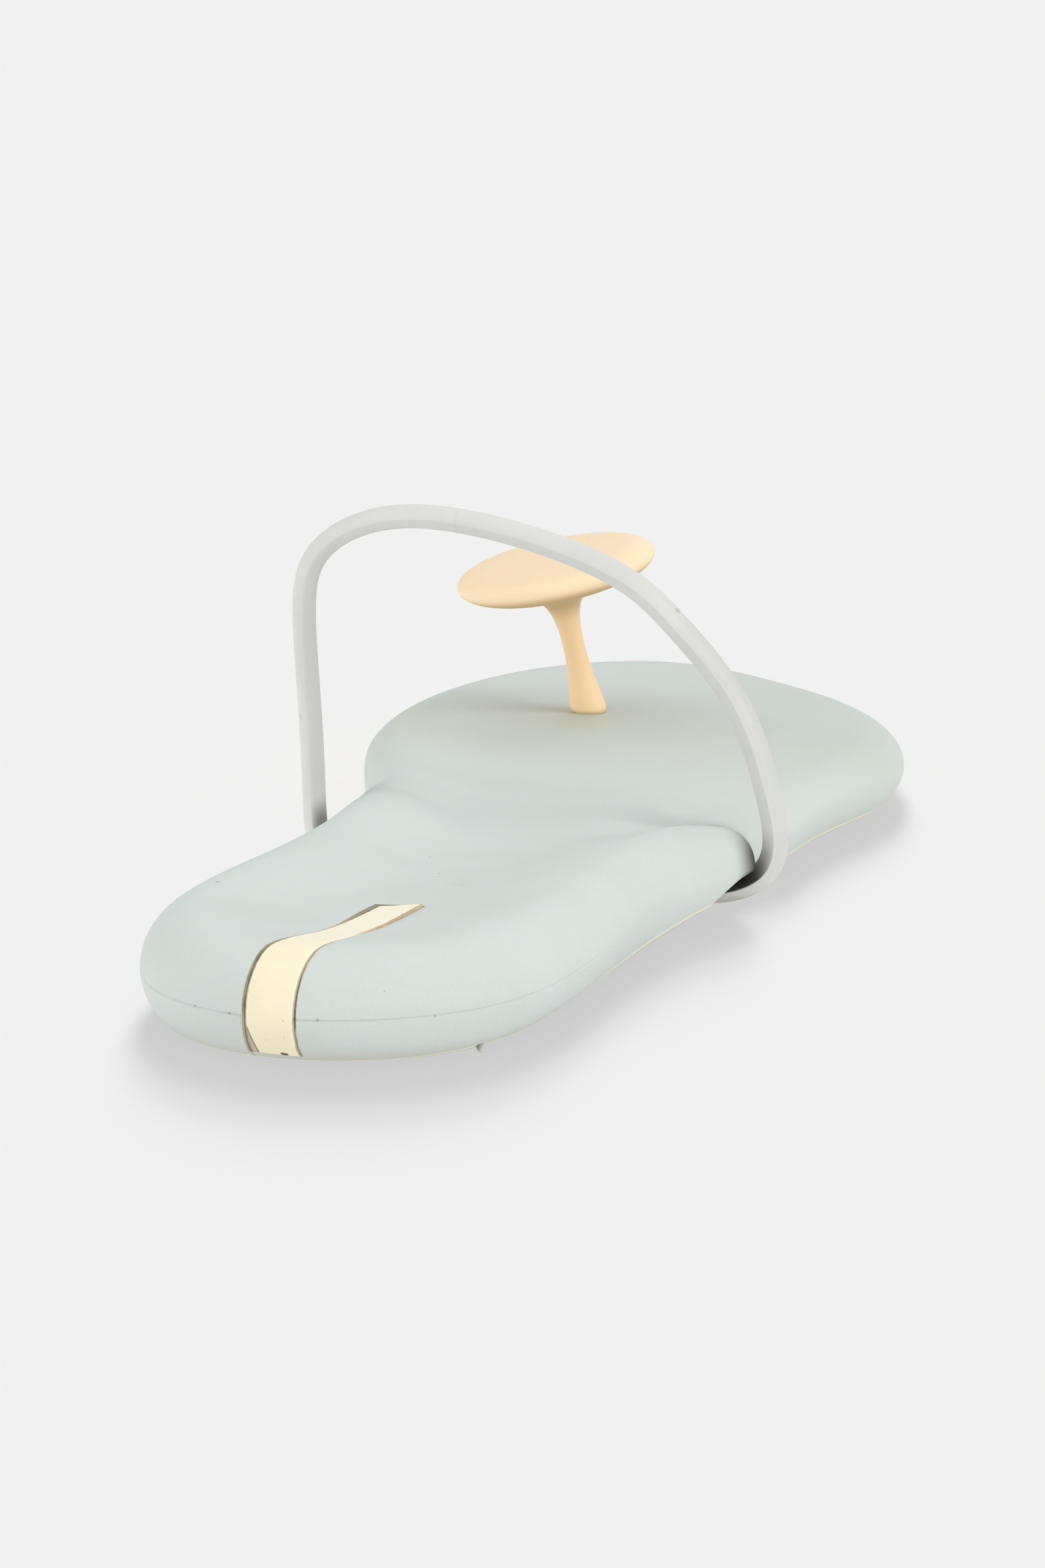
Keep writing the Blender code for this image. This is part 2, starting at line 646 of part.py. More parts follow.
def main():
    for leftover in list(bpy.data.objects):
        bpy.data.objects.remove(leftover)
    foot = footbed_points(np.array(POST_FOOT)) + np.array([0.0, 0.0, GAP])
    sole = make_sole()
    make_strap()
    make_toe_post(foot)
    make_heel_tape()
    cut(sole, make_tape_channel())
    cut(sole, make_socket(foot))


main()
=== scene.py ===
"""Looks of a right-foot toe-post sandal, in metres, with +Z up, +Y towards the toe and +X outwards.

The pieces are dense surfaces worked out from the same sizes as the solids, with the fine relief and the
finishes that the solids leave out.
"""

import bmesh
import bpy
import numpy as np
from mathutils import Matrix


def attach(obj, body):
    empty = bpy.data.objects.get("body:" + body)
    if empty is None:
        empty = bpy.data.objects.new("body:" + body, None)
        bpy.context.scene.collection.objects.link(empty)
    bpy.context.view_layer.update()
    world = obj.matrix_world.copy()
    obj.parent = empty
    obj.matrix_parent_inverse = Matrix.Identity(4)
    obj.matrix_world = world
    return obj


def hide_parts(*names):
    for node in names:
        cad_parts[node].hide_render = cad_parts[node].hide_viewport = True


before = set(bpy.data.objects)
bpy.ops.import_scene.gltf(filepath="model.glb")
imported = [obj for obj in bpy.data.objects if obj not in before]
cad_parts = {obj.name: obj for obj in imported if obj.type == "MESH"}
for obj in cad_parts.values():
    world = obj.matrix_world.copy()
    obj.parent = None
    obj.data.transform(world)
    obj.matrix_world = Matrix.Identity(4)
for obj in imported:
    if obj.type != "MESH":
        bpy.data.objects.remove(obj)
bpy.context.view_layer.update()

# Camera: where it stands, its turn from +Y, its downward tilt and its focal length in the frame's pixels
EYE = (0.16495, -0.6529, 0.1604)
CAMERA_TURN = np.radians(14.69)
CAMERA_TILT = np.radians(12.32)
FOCAL_PIXELS = 6163
FRAME_HEIGHT_PIXELS = 2352
SENSOR_MM = 36

# Clearance between pieces that meet
GAP = 0.0003
UPWARDS = np.array([0.0, 0.0, 1.0])

# Widest outline of the sole: across, along
OUTLINE = {
    "heel_back": (-0.0046, -0.1300),
    "heel_back_outer": (0.0180, -0.1184),
    "heel_outer": (0.0267, -0.0946),
    "shank_outer": (0.0301, -0.0593),
    "waist_outer": (0.0387, -0.0208),
    "ball_rear_outer": (0.0423, 0.0156),
    "ball_outer": (0.0492, 0.0489),
    "little_toe": (0.0384, 0.0904),
    "toe_outer": (0.0152, 0.1165),
    "toe_tip": (-0.0110, 0.1300),
    "big_toe": (-0.0390, 0.1111),
    "ball_inner": (-0.0492, 0.0593),
    "ball_rear_inner": (-0.0386, 0.0156),
    "waist_inner": (-0.0302, -0.0177),
    "shank_inner": (-0.0301, -0.0520),
    "heel_inner": (-0.0378, -0.0936),
    "heel_back_inner": (-0.0269, -0.1219),
}

# Sections of the sole from heel to toe: heights of the rim on both sides, of the footbed's middle and of
# the mould's parting line, inset of the bottom edge, and reach of the rim's slope into the footbed
ALONG, INNER_RIM, OUTER_RIM, MIDDLE, PARTING, BOTTOM_INSET, RIM_REACH = range(7)
SECTIONS = np.array(
    (
        (-0.130, 0.0155, 0.0155, 0.0140, 0.0070, 0.0046, 0.0115),
        (-0.095, 0.0157, 0.0156, 0.0135, 0.0070, 0.0062, 0.0115),
        (-0.068, 0.0164, 0.0159, 0.0138, 0.0070, 0.0048, 0.0115),
        (-0.048, 0.0177, 0.0162, 0.0142, 0.0073, 0.0049, 0.0105),
        (-0.038, 0.0185, 0.0158, 0.0143, 0.0075, 0.0053, 0.0093),
        (-0.032, 0.0186, 0.0151, 0.0143, 0.0077, 0.0062, 0.0086),
        (-0.027, 0.0183, 0.0137, 0.0143, 0.0078, 0.0080, 0.0081),
        (-0.021, 0.0177, 0.0121, 0.0141, 0.0079, 0.0082, 0.0078),
        (-0.014, 0.0171, 0.0122, 0.0140, 0.0079, 0.0078, 0.0078),
        (0.004, 0.0156, 0.0124, 0.0134, 0.0075, 0.0080, 0.0080),
        (0.026, 0.0138, 0.0124, 0.0126, 0.0070, 0.0090, 0.0090),
        (0.045, 0.0126, 0.0121, 0.0118, 0.0066, 0.0092, 0.0100),
        (0.057, 0.0120, 0.0119, 0.0114, 0.0063, 0.0092, 0.0110),
        (0.090, 0.0115, 0.0115, 0.0112, 0.0064, 0.0090, 0.0115),
        (0.130, 0.0113, 0.0113, 0.0112, 0.0085, 0.0080, 0.0115),
    )
)
# How fast the outer side's crest falls back towards the heel, for each root of the distance from the edge
CREST_BEND = 0.13
# Width over which the inner side's rim passes to the outer side's
SIDE_BLEND = 0.006
# Arch and toe spring of the underside: along, height
UNDERSIDE = np.array(
    (
        (-0.130, 0.0002),
        (-0.116, 0.0000),
        (-0.066, 0.0000),
        (-0.028, 0.0016),
        (0.014, 0.0000),
        (0.082, 0.0000),
        (0.112, 0.0012),
        (0.130, 0.0027),
    )
)
# Channel for the strap across the underside
CHANNEL_DEPTH = 0.0034
CHANNEL_HALF_FLOOR = 0.0042
CHANNEL_HALF_MOUTH = 0.0145
TOP_EDGE_INSET = 0.0083
# Blunt nose of the heel's pad at the outer side of the waist, where the side's top edge is inset less
NOSE_FILL = 0.0040
NOSE_ALONG = -0.0295
NOSE_REACH = 0.0060
# Notch in the outer side of the waist, where the strap comes up: along, depth
NOTCH = np.array(
    (
        (-0.0420, 0.0000),
        (-0.0310, -0.0012),
        (-0.0268, -0.0016),
        (-0.0212, 0.0045),
        (-0.0180, 0.0045),
        (-0.0010, 0.0000),
    )
)

# Soft folds of the footbed: reach on the heel's side and on the toe's side, and route in plan as rows of
# (across, along, depth)
FOLDS = {
    "toe_valley": (
        (0.0150, 0.0075),
        (
            (-0.0420, 0.0785, 0.0),
            (-0.0300, 0.0770, 0.0002),
            (0.0220, 0.0706, 0.0002),
            (0.0350, 0.0690, 0.0),
        ),
    ),
    "outer_waist_fold": (
        (0.0035, 0.0045),
        (
            (0.0420, -0.0205, 0.0018),
            (0.0355, -0.0195, 0.0018),
            (0.0320, -0.0188, 0.0011),
            (0.0290, -0.0195, 0.0005),
            (0.0262, -0.0222, 0.0003),
            (0.0205, -0.0335, 0.0001),
            (0.0160, -0.0405, 0.0),
        ),
    ),
    "inner_waist_fold": (
        (0.0030, 0.0040),
        (
            (-0.0300, -0.0330, 0.0001),
            (-0.0240, -0.0325, 0.0003),
            (-0.0118, -0.0305, 0.0002),
            (-0.0030, -0.0255, 0.0),
        ),
    ),
}
WAIST_FOLDS = ("outer_waist_fold", "inner_waist_fold")
DEEPEST_FOLD = 0.0018

# Fine relief of the side: groove at the parting line, and lip of flash near the bottom edge
GROOVE_DEPTH = 0.00003
GROOVE_REACH = np.radians(1.1)
GROOVE_FADE_START, GROOVE_FADE_END = -0.095, -0.060
LIP_HEIGHT = 0.00012
LIP_ANGLE = np.radians(-80)
LIP_REACH = np.radians(3.0)

# Grid of the sole
STATION_CROWDING = 1.2
STATION_CROWDING_REACH = 0.020
WAIST_ALONG = -0.024
SOLE_STATIONS = 240
SIDE_ANGLES = np.radians(
    np.concatenate(
        [
            np.linspace(-90, -72, 13),
            np.linspace(-68, -5, 12),
            np.linspace(-2.4, 2.4, 9),
            np.linspace(5, 90, 18),
        ]
    )
)
FOOTBED_COLUMNS = 56
UNDERSIDE_COLUMNS = 24
EDGE_SAMPLES = 1200
STATION_SAMPLES = 2000

# Ring strap: closed route in an upright plane, as (across, height)
STRAP_INNER_ALONG = -0.0320
STRAP_OUTER_ALONG = -0.0230
STRAP_ROUTE = {
    "under_inner": (-0.0120, 0.0027),
    "inner_corner_start": (-0.0250, 0.0028),
    "inner_corner": (-0.0304, 0.0047),
    "inner_corner_end": (-0.0324, 0.0100),
    "inner_leg_low": (-0.0329, 0.0200),
    "inner_leg_mid": (-0.0335, 0.0330),
    "inner_leg_high": (-0.0341, 0.0465),
    "shoulder_low": (-0.0328, 0.0544),
    "shoulder": (-0.0280, 0.0594),
    "shoulder_top": (-0.0195, 0.0622),
    "crown": (-0.0077, 0.0616),
    "slope_high": (0.0074, 0.0576),
    "slope_mid": (0.0189, 0.0520),
    "slope_low": (0.0255, 0.0459),
    "outer_leg_top": (0.0329, 0.0371),
    "outer_leg_high": (0.0372, 0.0292),
    "outer_leg_mid": (0.0400, 0.0205),
    "outer_leg_low": (0.0417, 0.0110),
    "hook": (0.0399, 0.0059),
    "hook_low": (0.0345, 0.0031),
    "under_outer": (0.0220, 0.0027),
}
STRAP_HALF_WIDTH = 0.0032
STRAP_INNER_HALF_THICKNESS = 0.00185
STRAP_OUTER_HALF_THICKNESS = 0.00210
STRAP_LENS_POWER = 1.45
STRAP_STATIONS = 360
STRAP_SIDES = 48

# Toe post: where it stands, how far its top leans for each metre of height, and its rows
POST_FOOT = (-0.0125, 0.0726)
POST_LEAN = (-0.19, -0.19)
POST_UPRIGHT_HEIGHT = 0.008
PLUG_RADIUS = 0.0026
PLUG_DEPTH = 0.0042
# Rows of (height above the footbed, half length across, half length along)
POST_ROWS = np.array(
    (
        (-0.0002, 0.00305, 0.00305),
        (0.0005, 0.00325, 0.00325),
        (0.0016, 0.00325, 0.00325),
        (0.0035, 0.00292, 0.00292),
        (0.0065, 0.00240, 0.00240),
        (0.0100, 0.00208, 0.00208),
        (0.0140, 0.00202, 0.00202),
        (0.0170, 0.00230, 0.00230),
        (0.0190, 0.00275, 0.00275),
        (0.0206, 0.00345, 0.00345),
        (0.0221, 0.00490, 0.00480),
        (0.0234, 0.00830, 0.00760),
        (0.0242, 0.01320, 0.01140),
        (0.0249, 0.01630, 0.01370),
        (0.0258, 0.01800, 0.01500),
        (0.0268, 0.01865, 0.01555),
        (0.0279, 0.01820, 0.01515),
        (0.0286, 0.01690, 0.01400),
        (0.0290, 0.01400, 0.01150),
        (0.0292, 0.00800, 0.00660),
    )
)
POST_TOP_HEIGHT = 0.0293
POST_RINGS = 96
POST_SIDES = 96

# Heel tape: its centre line on the footbed, its width and its thickness
TAPE_END = (-0.0014, -0.0896)
TAPE_BACK = (-0.0086, -0.1300)
TAPE_END_WIDTH = 0.0062
TAPE_BACK_WIDTH = 0.0070
TAPE_THICKNESS = 0.0010
TAPE_LAST_ANGLE = np.radians(-52)
TAPE_CHANNEL_LAST_ANGLE = np.radians(-55)
TAPE_CHANNEL_PROUD = 0.0010
# The tape lies askew: how far its outer edge stands proud at its end, at the bend and on the heel's back
TAPE_PROUD = (0.00060, 0.00003, 0.00018)
TAPE_EDGE_RADIUS = 0.00025
# The soft tape swells into its channel
TAPE_SWELL = 0.00027
TAPE_SWELL_ANGLE = np.radians(2.2)
TAPE_TOP_ROWS = 48
TAPE_EDGE_ROWS = 40
TAPE_COLUMNS = 16
TAPE_CORNER_STEPS = 5
# Stretch of the sole's edge searched for the tape, on both sides of the back of the heel
HEEL_SPAN = 0.12
HEEL_SAMPLES = 400

# Tag of flash left at the bottom edge of the heel
TAG_PLACE = (0.0170, -0.1131, 0.0010)
TAG_DIRECTION = (0.36, -0.91, -0.21)
TAG_LENGTH = 0.0034
TAG_RADIUS = 0.00080
TAG_CHART = (0.0, -0.90)
TAG_RINGS = 7
TAG_SIDES = 12

SHARP_ANGLE = np.radians(40)


def eased(share):
    """Smooth step from 0 to 1: three times the square of the share, less twice its cube."""
    share = np.clip(share, 0, 1)
    return share * share * (3 - 2 * share)


def bell(distance, reach):
    """Bell curve: e to the power of minus the square of the distance over the reach."""
    return np.exp(-((distance / reach) ** 2))


def unit(vectors):
    """The same directions with length 1."""
    return vectors / np.linalg.norm(vectors, axis=-1, keepdims=True)


def full_turn(sides):
    """Angles of one turn in even steps."""
    return np.linspace(0, 2 * np.pi, sides, endpoint=False)


def flowing(rows, along):
    """Values on a monotone cubic through rows of (place, value).

    Each knot's slope is the harmonic mean of the two secants beside it, or 0 where they differ in sign, so a
    flat run stays flat and nothing overshoots.
    """
    knots, values = rows.T
    along = np.clip(along, knots[0], knots[-1])
    secants = np.diff(values) / np.diff(knots)
    before, after = secants[:-1], secants[1:]
    same_way = before * after > 0
    total = np.where(same_way, before + after, 1.0)
    slopes = np.concatenate([[0.0], np.where(same_way, 2 * before * after / total, 0.0), [0.0]])
    cell = np.clip(np.searchsorted(knots, along, side="right") - 1, 0, len(knots) - 2)
    span = knots[cell + 1] - knots[cell]
    share = (along - knots[cell]) / span
    start = share * (1 - share) ** 2
    end = share * share * (share - 1)
    level = values[cell] + (values[cell + 1] - values[cell]) * eased(share)
    return level + span * (slopes[cell] * start + slopes[cell + 1] * end)


class ClosedCurve:
    """Periodic cubic through points; its parameter grows by the square root of each chord.

    The second derivatives at the points solve the usual cyclic tridiagonal system.
    """

    def __init__(self, points):
        self.points = np.array(points)
        following = np.roll(self.points, -1, axis=0)
        self.steps = np.sqrt(np.linalg.norm(following - self.points, axis=1))
        self.knots = np.concatenate([[0.0], np.cumsum(self.steps)])
        chords = (following - self.points) / self.steps[:, None]
        last = np.roll(self.steps, 1)
        identity = np.eye(len(self.points))
        system = np.diag(2 * (last + self.steps))
        system += last[:, None] * np.roll(identity, -1, axis=1)
        system += self.steps[:, None] * np.roll(identity, 1, axis=1)
        self.bends = np.linalg.solve(system, 6 * (chords - np.roll(chords, 1, axis=0)))

    def at(self, place):
        """Positions and unit tangents at an array of parameters."""
        place = np.mod(place, self.knots[-1])
        cell = np.clip(np.searchsorted(self.knots, place, side="right") - 1, 0, len(self.points) - 1)
        following = (cell + 1) % len(self.points)
        step = self.steps[cell][..., None]
        done = (place - self.knots[cell])[..., None]
        left = step - done
        first, second = self.points[cell], self.points[following]
        bend_1, bend_2 = self.bends[cell], self.bends[following]
        position = (
            (bend_1 * left**3 + bend_2 * done**3) / (6 * step)
            + (first / step - bend_1 * step / 6) * left
            + (second / step - bend_2 * step / 6) * done
        )
        tangent = (
            (bend_2 * done**2 - bend_1 * left**2) / (2 * step)
            + (second - first) / step
            - (bend_2 - bend_1) * step / 6
        )
        return position, unit(tangent)


SOLE_EDGE = ClosedCurve(list(OUTLINE.values()))
TOE_PLACE = SOLE_EDGE.knots[list(OUTLINE).index("toe_tip")]
EDGE_END = SOLE_EDGE.knots[-1]


def section(column, along):
    """A column of the sections table at places along the sole."""
    return flowing(SECTIONS[:, (ALONG, column)], along)


def strap_along(across):
    """Along position of the strap's middle plane: a straight line from its inner leg to its outer leg."""
    inner, outer = STRAP_ROUTE["inner_leg_high"][0], STRAP_ROUTE["outer_leg_low"][0]
    skew = (STRAP_OUTER_ALONG - STRAP_INNER_ALONG) / (outer - inner)
    return STRAP_INNER_ALONG + skew * (across - inner)


def edge_inset(angle, plan):
    """Inset of the rounded side: one minus the cosine of the angle, 0 at the parting line.

    At the outer side's nose a bell curve along the sole makes the top edge's inset smaller.
    """
    across, along = plan[..., 0], plan[..., 1]
    nose = np.where(across > 0, NOSE_FILL * bell(along - NOSE_ALONG, NOSE_REACH), 0.0)
    return np.where(angle > 0, TOP_EDGE_INSET - nose, section(BOTTOM_INSET, along)) * (1 - np.cos(angle))


def side_relief(angle, along):
    """Outward relief of the side: bell curves of the angle for the parting groove and the lip of flash.

    The groove fades out evenly in front of the heel.
    """
    fade = np.clip((GROOVE_FADE_END - along) / (GROOVE_FADE_END - GROOVE_FADE_START), 0, 1)
    groove = GROOVE_DEPTH * fade * bell(angle, GROOVE_REACH)
    return LIP_HEIGHT * bell(angle - LIP_ANGLE, LIP_REACH) - groove


def edge_plan(place, angle):
    """Plan points of the sole's side: the outline moved inwards by inset and notch, less the relief."""
    position, tangent = SOLE_EDGE.at(place)
    across, along = position[..., 0], position[..., 1]
    outward = np.stack([tangent[..., 1], -tangent[..., 0]], axis=-1)
    dent = np.where(across > 0, flowing(NOTCH, along), 0.0)
    inwards = edge_inset(angle, position) + dent - side_relief(angle, along)
    return position - outward * inwards[..., None]


def rim_height(plan, inside=0.0):
    """Height of the rim: the inner side's, passing to the outer side's by a logistic curve across.

    Inside the edge the outer side's crest falls back towards the heel with the square root of the distance.
    """
    outer_share = 1 / (1 + np.exp(-plan[..., 0] / SIDE_BLEND))
    inner = section(INNER_RIM, plan[..., 1])
    outer = section(OUTER_RIM, plan[..., 1] + CREST_BEND * np.sqrt(inside))
    return inner + (outer - inner) * outer_share


def fold_depth(plan, names=FOLDS):
    """Depth of the soft folds: a bell curve of the distance to each fold's route, wider on one side of it.

    The distance is the smallest of those to the route's straight stretches, along which the depth changes
    evenly, and its side is the sign of the cross product with the nearest one.
    """
    total = np.zeros(plan.shape[:-1])
    for name in names:
        (heel_reach, toe_reach), route = FOLDS[name]
        nearest = np.full(plan.shape[:-1], np.inf)
        fold = np.zeros(plan.shape[:-1])
        for start, end in zip(np.array(route[:-1]), np.array(route[1:])):
            stretch = end[:2] - start[:2]
            away = plan - start[:2]
            share = np.clip(away @ stretch / (stretch @ stretch), 0, 1)
            distance = np.linalg.norm(away - share[..., None] * stretch, axis=-1)
            toewards = (stretch[0] * away[..., 1] - stretch[1] * away[..., 0]) * np.sign(stretch[0]) > 0
            reach = np.where(toewards, toe_reach, heel_reach)
            depth = (start[2] + (end[2] - start[2]) * share) * bell(distance, reach)
            fold = np.where(distance < nearest, depth, fold)
            nearest = np.minimum(distance, nearest)
        total += fold
    return total


def underside_height(plan):
    """Height of the underside: arch and toe spring, and the strap's channel with smoothly sloping sides."""
    aside = np.abs(plan[..., 1] - strap_along(plan[..., 0]))
    share = (CHANNEL_HALF_MOUTH - aside) / (CHANNEL_HALF_MOUTH - CHANNEL_HALF_FLOOR)
    return flowing(UNDERSIDE, plan[..., 1]) + CHANNEL_DEPTH * eased(share)


def raised(plan, height):
    """Plan points with their heights as the third coordinate."""
    return np.concatenate([plan, height[..., None]], axis=-1)


def edge_points(place, angle):
    """Points of the sole's side: a quarter ellipse up from the parting line and one down from it."""
    place, angle = np.broadcast_arrays(place, angle)
    plan = edge_plan(place, angle)
    parting = section(PARTING, plan[..., 1])
    limit = np.where(angle > 0, rim_height(plan) - fold_depth(plan), underside_height(plan))
    return raised(plan, parting + (limit - parting) * np.abs(np.sin(angle)))


FOOTBED_EDGE = edge_plan(np.linspace(0, EDGE_END, EDGE_SAMPLES, endpoint=False), np.pi / 2)


def inside_distance(plan):
    """Distance from plan points to the nearest sample of the footbed's edge."""
    flat = plan.reshape(-1, 2)
    squared = (flat**2).sum(axis=1)[:, None] + (FOOTBED_EDGE**2).sum(axis=1) - 2 * flat @ FOOTBED_EDGE.T
    return np.sqrt(np.maximum(squared.min(axis=1), 0)).reshape(plan.shape[:-1])


def footbed_points(plan):
    """Points of the footbed: the rim's height at its edge, fading to the middle's by a bell curve inside.

    The soft folds are let in.
    """
    middle = section(MIDDLE, plan[..., 1])
    inside = inside_distance(plan)
    fade = bell(inside, section(RIM_REACH, plan[..., 1]))
    return raised(plan, middle + (rim_height(plan, inside) - middle) * fade - fold_depth(plan))


def numbered(points, start=0):
    """Vertex numbers of a grid of points, counted row by row."""
    return start + np.arange(points[..., 0].size).reshape(points.shape[:2])


def closed_rows(numbers):
    """Rows of vertex numbers that end where they start."""
    return np.column_stack([numbers, numbers[:, 0]])


def grid_faces(numbers):
    """Quads of a grid of vertex numbers."""
    corners = [numbers[:-1, :-1], numbers[:-1, 1:], numbers[1:, 1:], numbers[1:, :-1]]
    return np.stack(corners, axis=-1).reshape(-1, 4)


def ring_faces(numbers):
    """Quads of a grid of vertex numbers whose rows are closed rings."""
    return grid_faces(closed_rows(numbers))


def fan_faces(pole, row):
    """Triangles from one vertex to a row of vertices."""
    return np.stack([np.full(len(row) - 1, pole), row[:-1], row[1:]], axis=-1)


def placed(name, data):
    """Object of this data, put into the scene."""
    made = bpy.data.objects.new(name, data)
    bpy.context.collection.objects.link(made)
    return made


def surface_object(name, points, blocks, chart=None):
    """Object with a smooth closed mesh, its faces outwards, and one (u, v) of the chart for each point."""
    mesh = bpy.data.meshes.new(name)
    faces = []
    for block in blocks:
        faces += block.tolist()
    mesh.from_pydata(points.tolist(), [], faces)
    work = bmesh.new()
    work.from_mesh(mesh)
    bmesh.ops.recalc_face_normals(work, faces=work.faces)
    work.to_mesh(mesh)
    work.free()
    if chart is not None:
        corners = np.empty(len(mesh.loops), np.int32)
        mesh.loops.foreach_get("vertex_index", corners)
        mesh.uv_layers.new(name="chart").data.foreach_set("uv", chart[corners].astype(np.float32).ravel())
    mesh.shade_smooth()
    return placed(name, mesh)


def carve(piece, cutters):
    """Takes the cutters' volumes out of a piece, bakes the result into its mesh and removes the cutters."""
    for cutter in cutters:
        boolean = piece.modifiers.new(cutter.name, "BOOLEAN")
        boolean.operation = "DIFFERENCE"
        boolean.solver = "EXACT"
        boolean.object = cutter
    graph = bpy.context.evaluated_depsgraph_get()
    carved = bpy.data.meshes.new_from_object(piece.evaluated_get(graph))
    piece.modifiers.clear()
    piece.data = carved
    for cutter in cutters:
        bpy.data.objects.remove(cutter)


def stand_for(piece, node, material):
    """Lets a piece stand for a solid: it gets this material, rides on the one body, and the solid is hidden.
    """
    piece.data.materials.clear()
    piece.data.materials.append(material)
    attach(piece, "root")
    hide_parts(node)


def station_places(start, end):
    """Curve parameters of one side's stations, which crowd by a bell curve round the waist."""
    fine = np.linspace(start, end, STATION_SAMPLES)
    along = SOLE_EDGE.at(fine)[0][:, 1]
    weight = 1 + STATION_CROWDING * bell(along - WAIST_ALONG, STATION_CROWDING_REACH)
    reached = np.concatenate([[0.0], np.cumsum((weight[1:] + weight[:-1]) / 2)])
    return np.interp(np.arange(SOLE_STATIONS) / SOLE_STATIONS * reached[-1], reached, fine)


def sheet_plan(ring_plan, columns):
    """Plan points between the two sides of a ring: straight rows across, one for each station."""
    outer = ring_plan[1:SOLE_STATIONS]
    inner = ring_plan[:SOLE_STATIONS:-1]
    share = (np.arange(1, columns) / columns)[None, :, None]
    return outer[:, None] * (1 - share) + inner[:, None] * share


def sheet_faces(ring, inner):
    """Faces that close a ring of vertices across its width, with a fan at the heel and one at the toe."""
    rows = np.column_stack([ring[1:SOLE_STATIONS], inner, ring[:SOLE_STATIONS:-1]])
    return [grid_faces(rows), fan_faces(ring[0], rows[0]), fan_faces(ring[SOLE_STATIONS], rows[-1])]


def make_sole():
    """Rings of edge points up the side, closed by the footbed and the underside.

    The chart's u is the depth of the waist's folds, as a share of the deepest. Its v is the side's angle in
    right angles: -1 at the bottom edge, 0 at the parting line, 1 at the top edge, and beyond 1 and -1 on the
    footbed and the underside.
    """
    places = np.concatenate([station_places(0, TOE_PLACE), station_places(TOE_PLACE, EDGE_END)])
    rings = edge_points(places[None, :], SIDE_ANGLES[:, None])
    footbed = footbed_points(sheet_plan(rings[-1, :, :2], FOOTBED_COLUMNS))
    underside_plan = sheet_plan(rings[0, :, :2], UNDERSIDE_COLUMNS)
    underside = raised(underside_plan, underside_height(underside_plan))
    points = np.concatenate([rings.reshape(-1, 3), footbed.reshape(-1, 3), underside.reshape(-1, 3)])

    ring_numbers = numbered(rings)
    bed_numbers = numbered(footbed, ring_numbers.size)
    under_numbers = numbered(underside, ring_numbers.size + bed_numbers.size)
    blocks = [ring_faces(ring_numbers)]
    blocks += sheet_faces(ring_numbers[-1], bed_numbers)
    blocks += sheet_faces(ring_numbers[0], under_numbers)

    turn = np.repeat(SIDE_ANGLES / (np.pi / 2), len(places))
    level = np.concatenate([turn, np.full(bed_numbers.size, 2.0), np.full(under_numbers.size, -2.0)])
    crease = np.where(level > -1, fold_depth(points[:, :2], WAIST_FOLDS) / DEEPEST_FOLD, 0.0)
    chart = np.column_stack([crease, level])
    return surface_object("sole_body", points, blocks, chart)


def make_strap():
    """Lens-shaped section carried round the closed route.

    Across the strap the section runs as a sine, and through it as a power of the cosine, which leaves a soft
    ridge along the front and rear edges. The chart runs from -1 inside the ring to 1 outside it, and from -1
    at the rear edge to 1 at the front edge.
    """
    route = ClosedCurve(list(STRAP_ROUTE.values()))
    position, tangent = route.at(np.linspace(0, route.knots[-1], STRAP_STATIONS, endpoint=False))
    inner, outer = position[:, 0].min(), position[:, 0].max()
    sideways = unit(np.array([outer - inner, strap_along(outer) - strap_along(inner), 0.0]))
    lengthways = np.array([-sideways[1], sideways[0], 0.0])

    share = ((position[:, 0] - inner) / (outer - inner))[:, None]
    centre = np.column_stack([position[:, 0], strap_along(position[:, 0]), position[:, 1]])
    radial = tangent[:, 1:] * sideways - tangent[:, :1] * UPWARDS
    half_thickness = STRAP_INNER_HALF_THICKNESS * (1 - share) + STRAP_OUTER_HALF_THICKNESS * share
    turn = full_turn(STRAP_SIDES)
    out = np.sign(np.cos(turn)) * np.abs(np.cos(turn)) ** STRAP_LENS_POWER
    points = (
        centre[:, None]
        + radial[:, None] * (half_thickness * out)[..., None]
        + lengthways * (STRAP_HALF_WIDTH * np.sin(turn))[None, :, None]
    )
    numbers = numbered(points)
    closed = np.concatenate([numbers, numbers[:1]])
    chart = np.tile(np.column_stack([-np.cos(turn), np.sin(turn)]), (STRAP_STATIONS, 1))
    return surface_object("strap_ring", points.reshape(-1, 3), [ring_faces(closed)], chart)


def upright_rings(foot, radius, heights):
    """Level circles round the post's foot, one at each height above it."""
    turn = full_turn(POST_SIDES)
    circle = radius * np.column_stack([np.cos(turn), np.sin(turn)])
    levels = np.array(heights)[:, None] * np.ones(POST_SIDES)
    return foot + raised(np.broadcast_to(circle, (len(heights), POST_SIDES, 2)), levels)


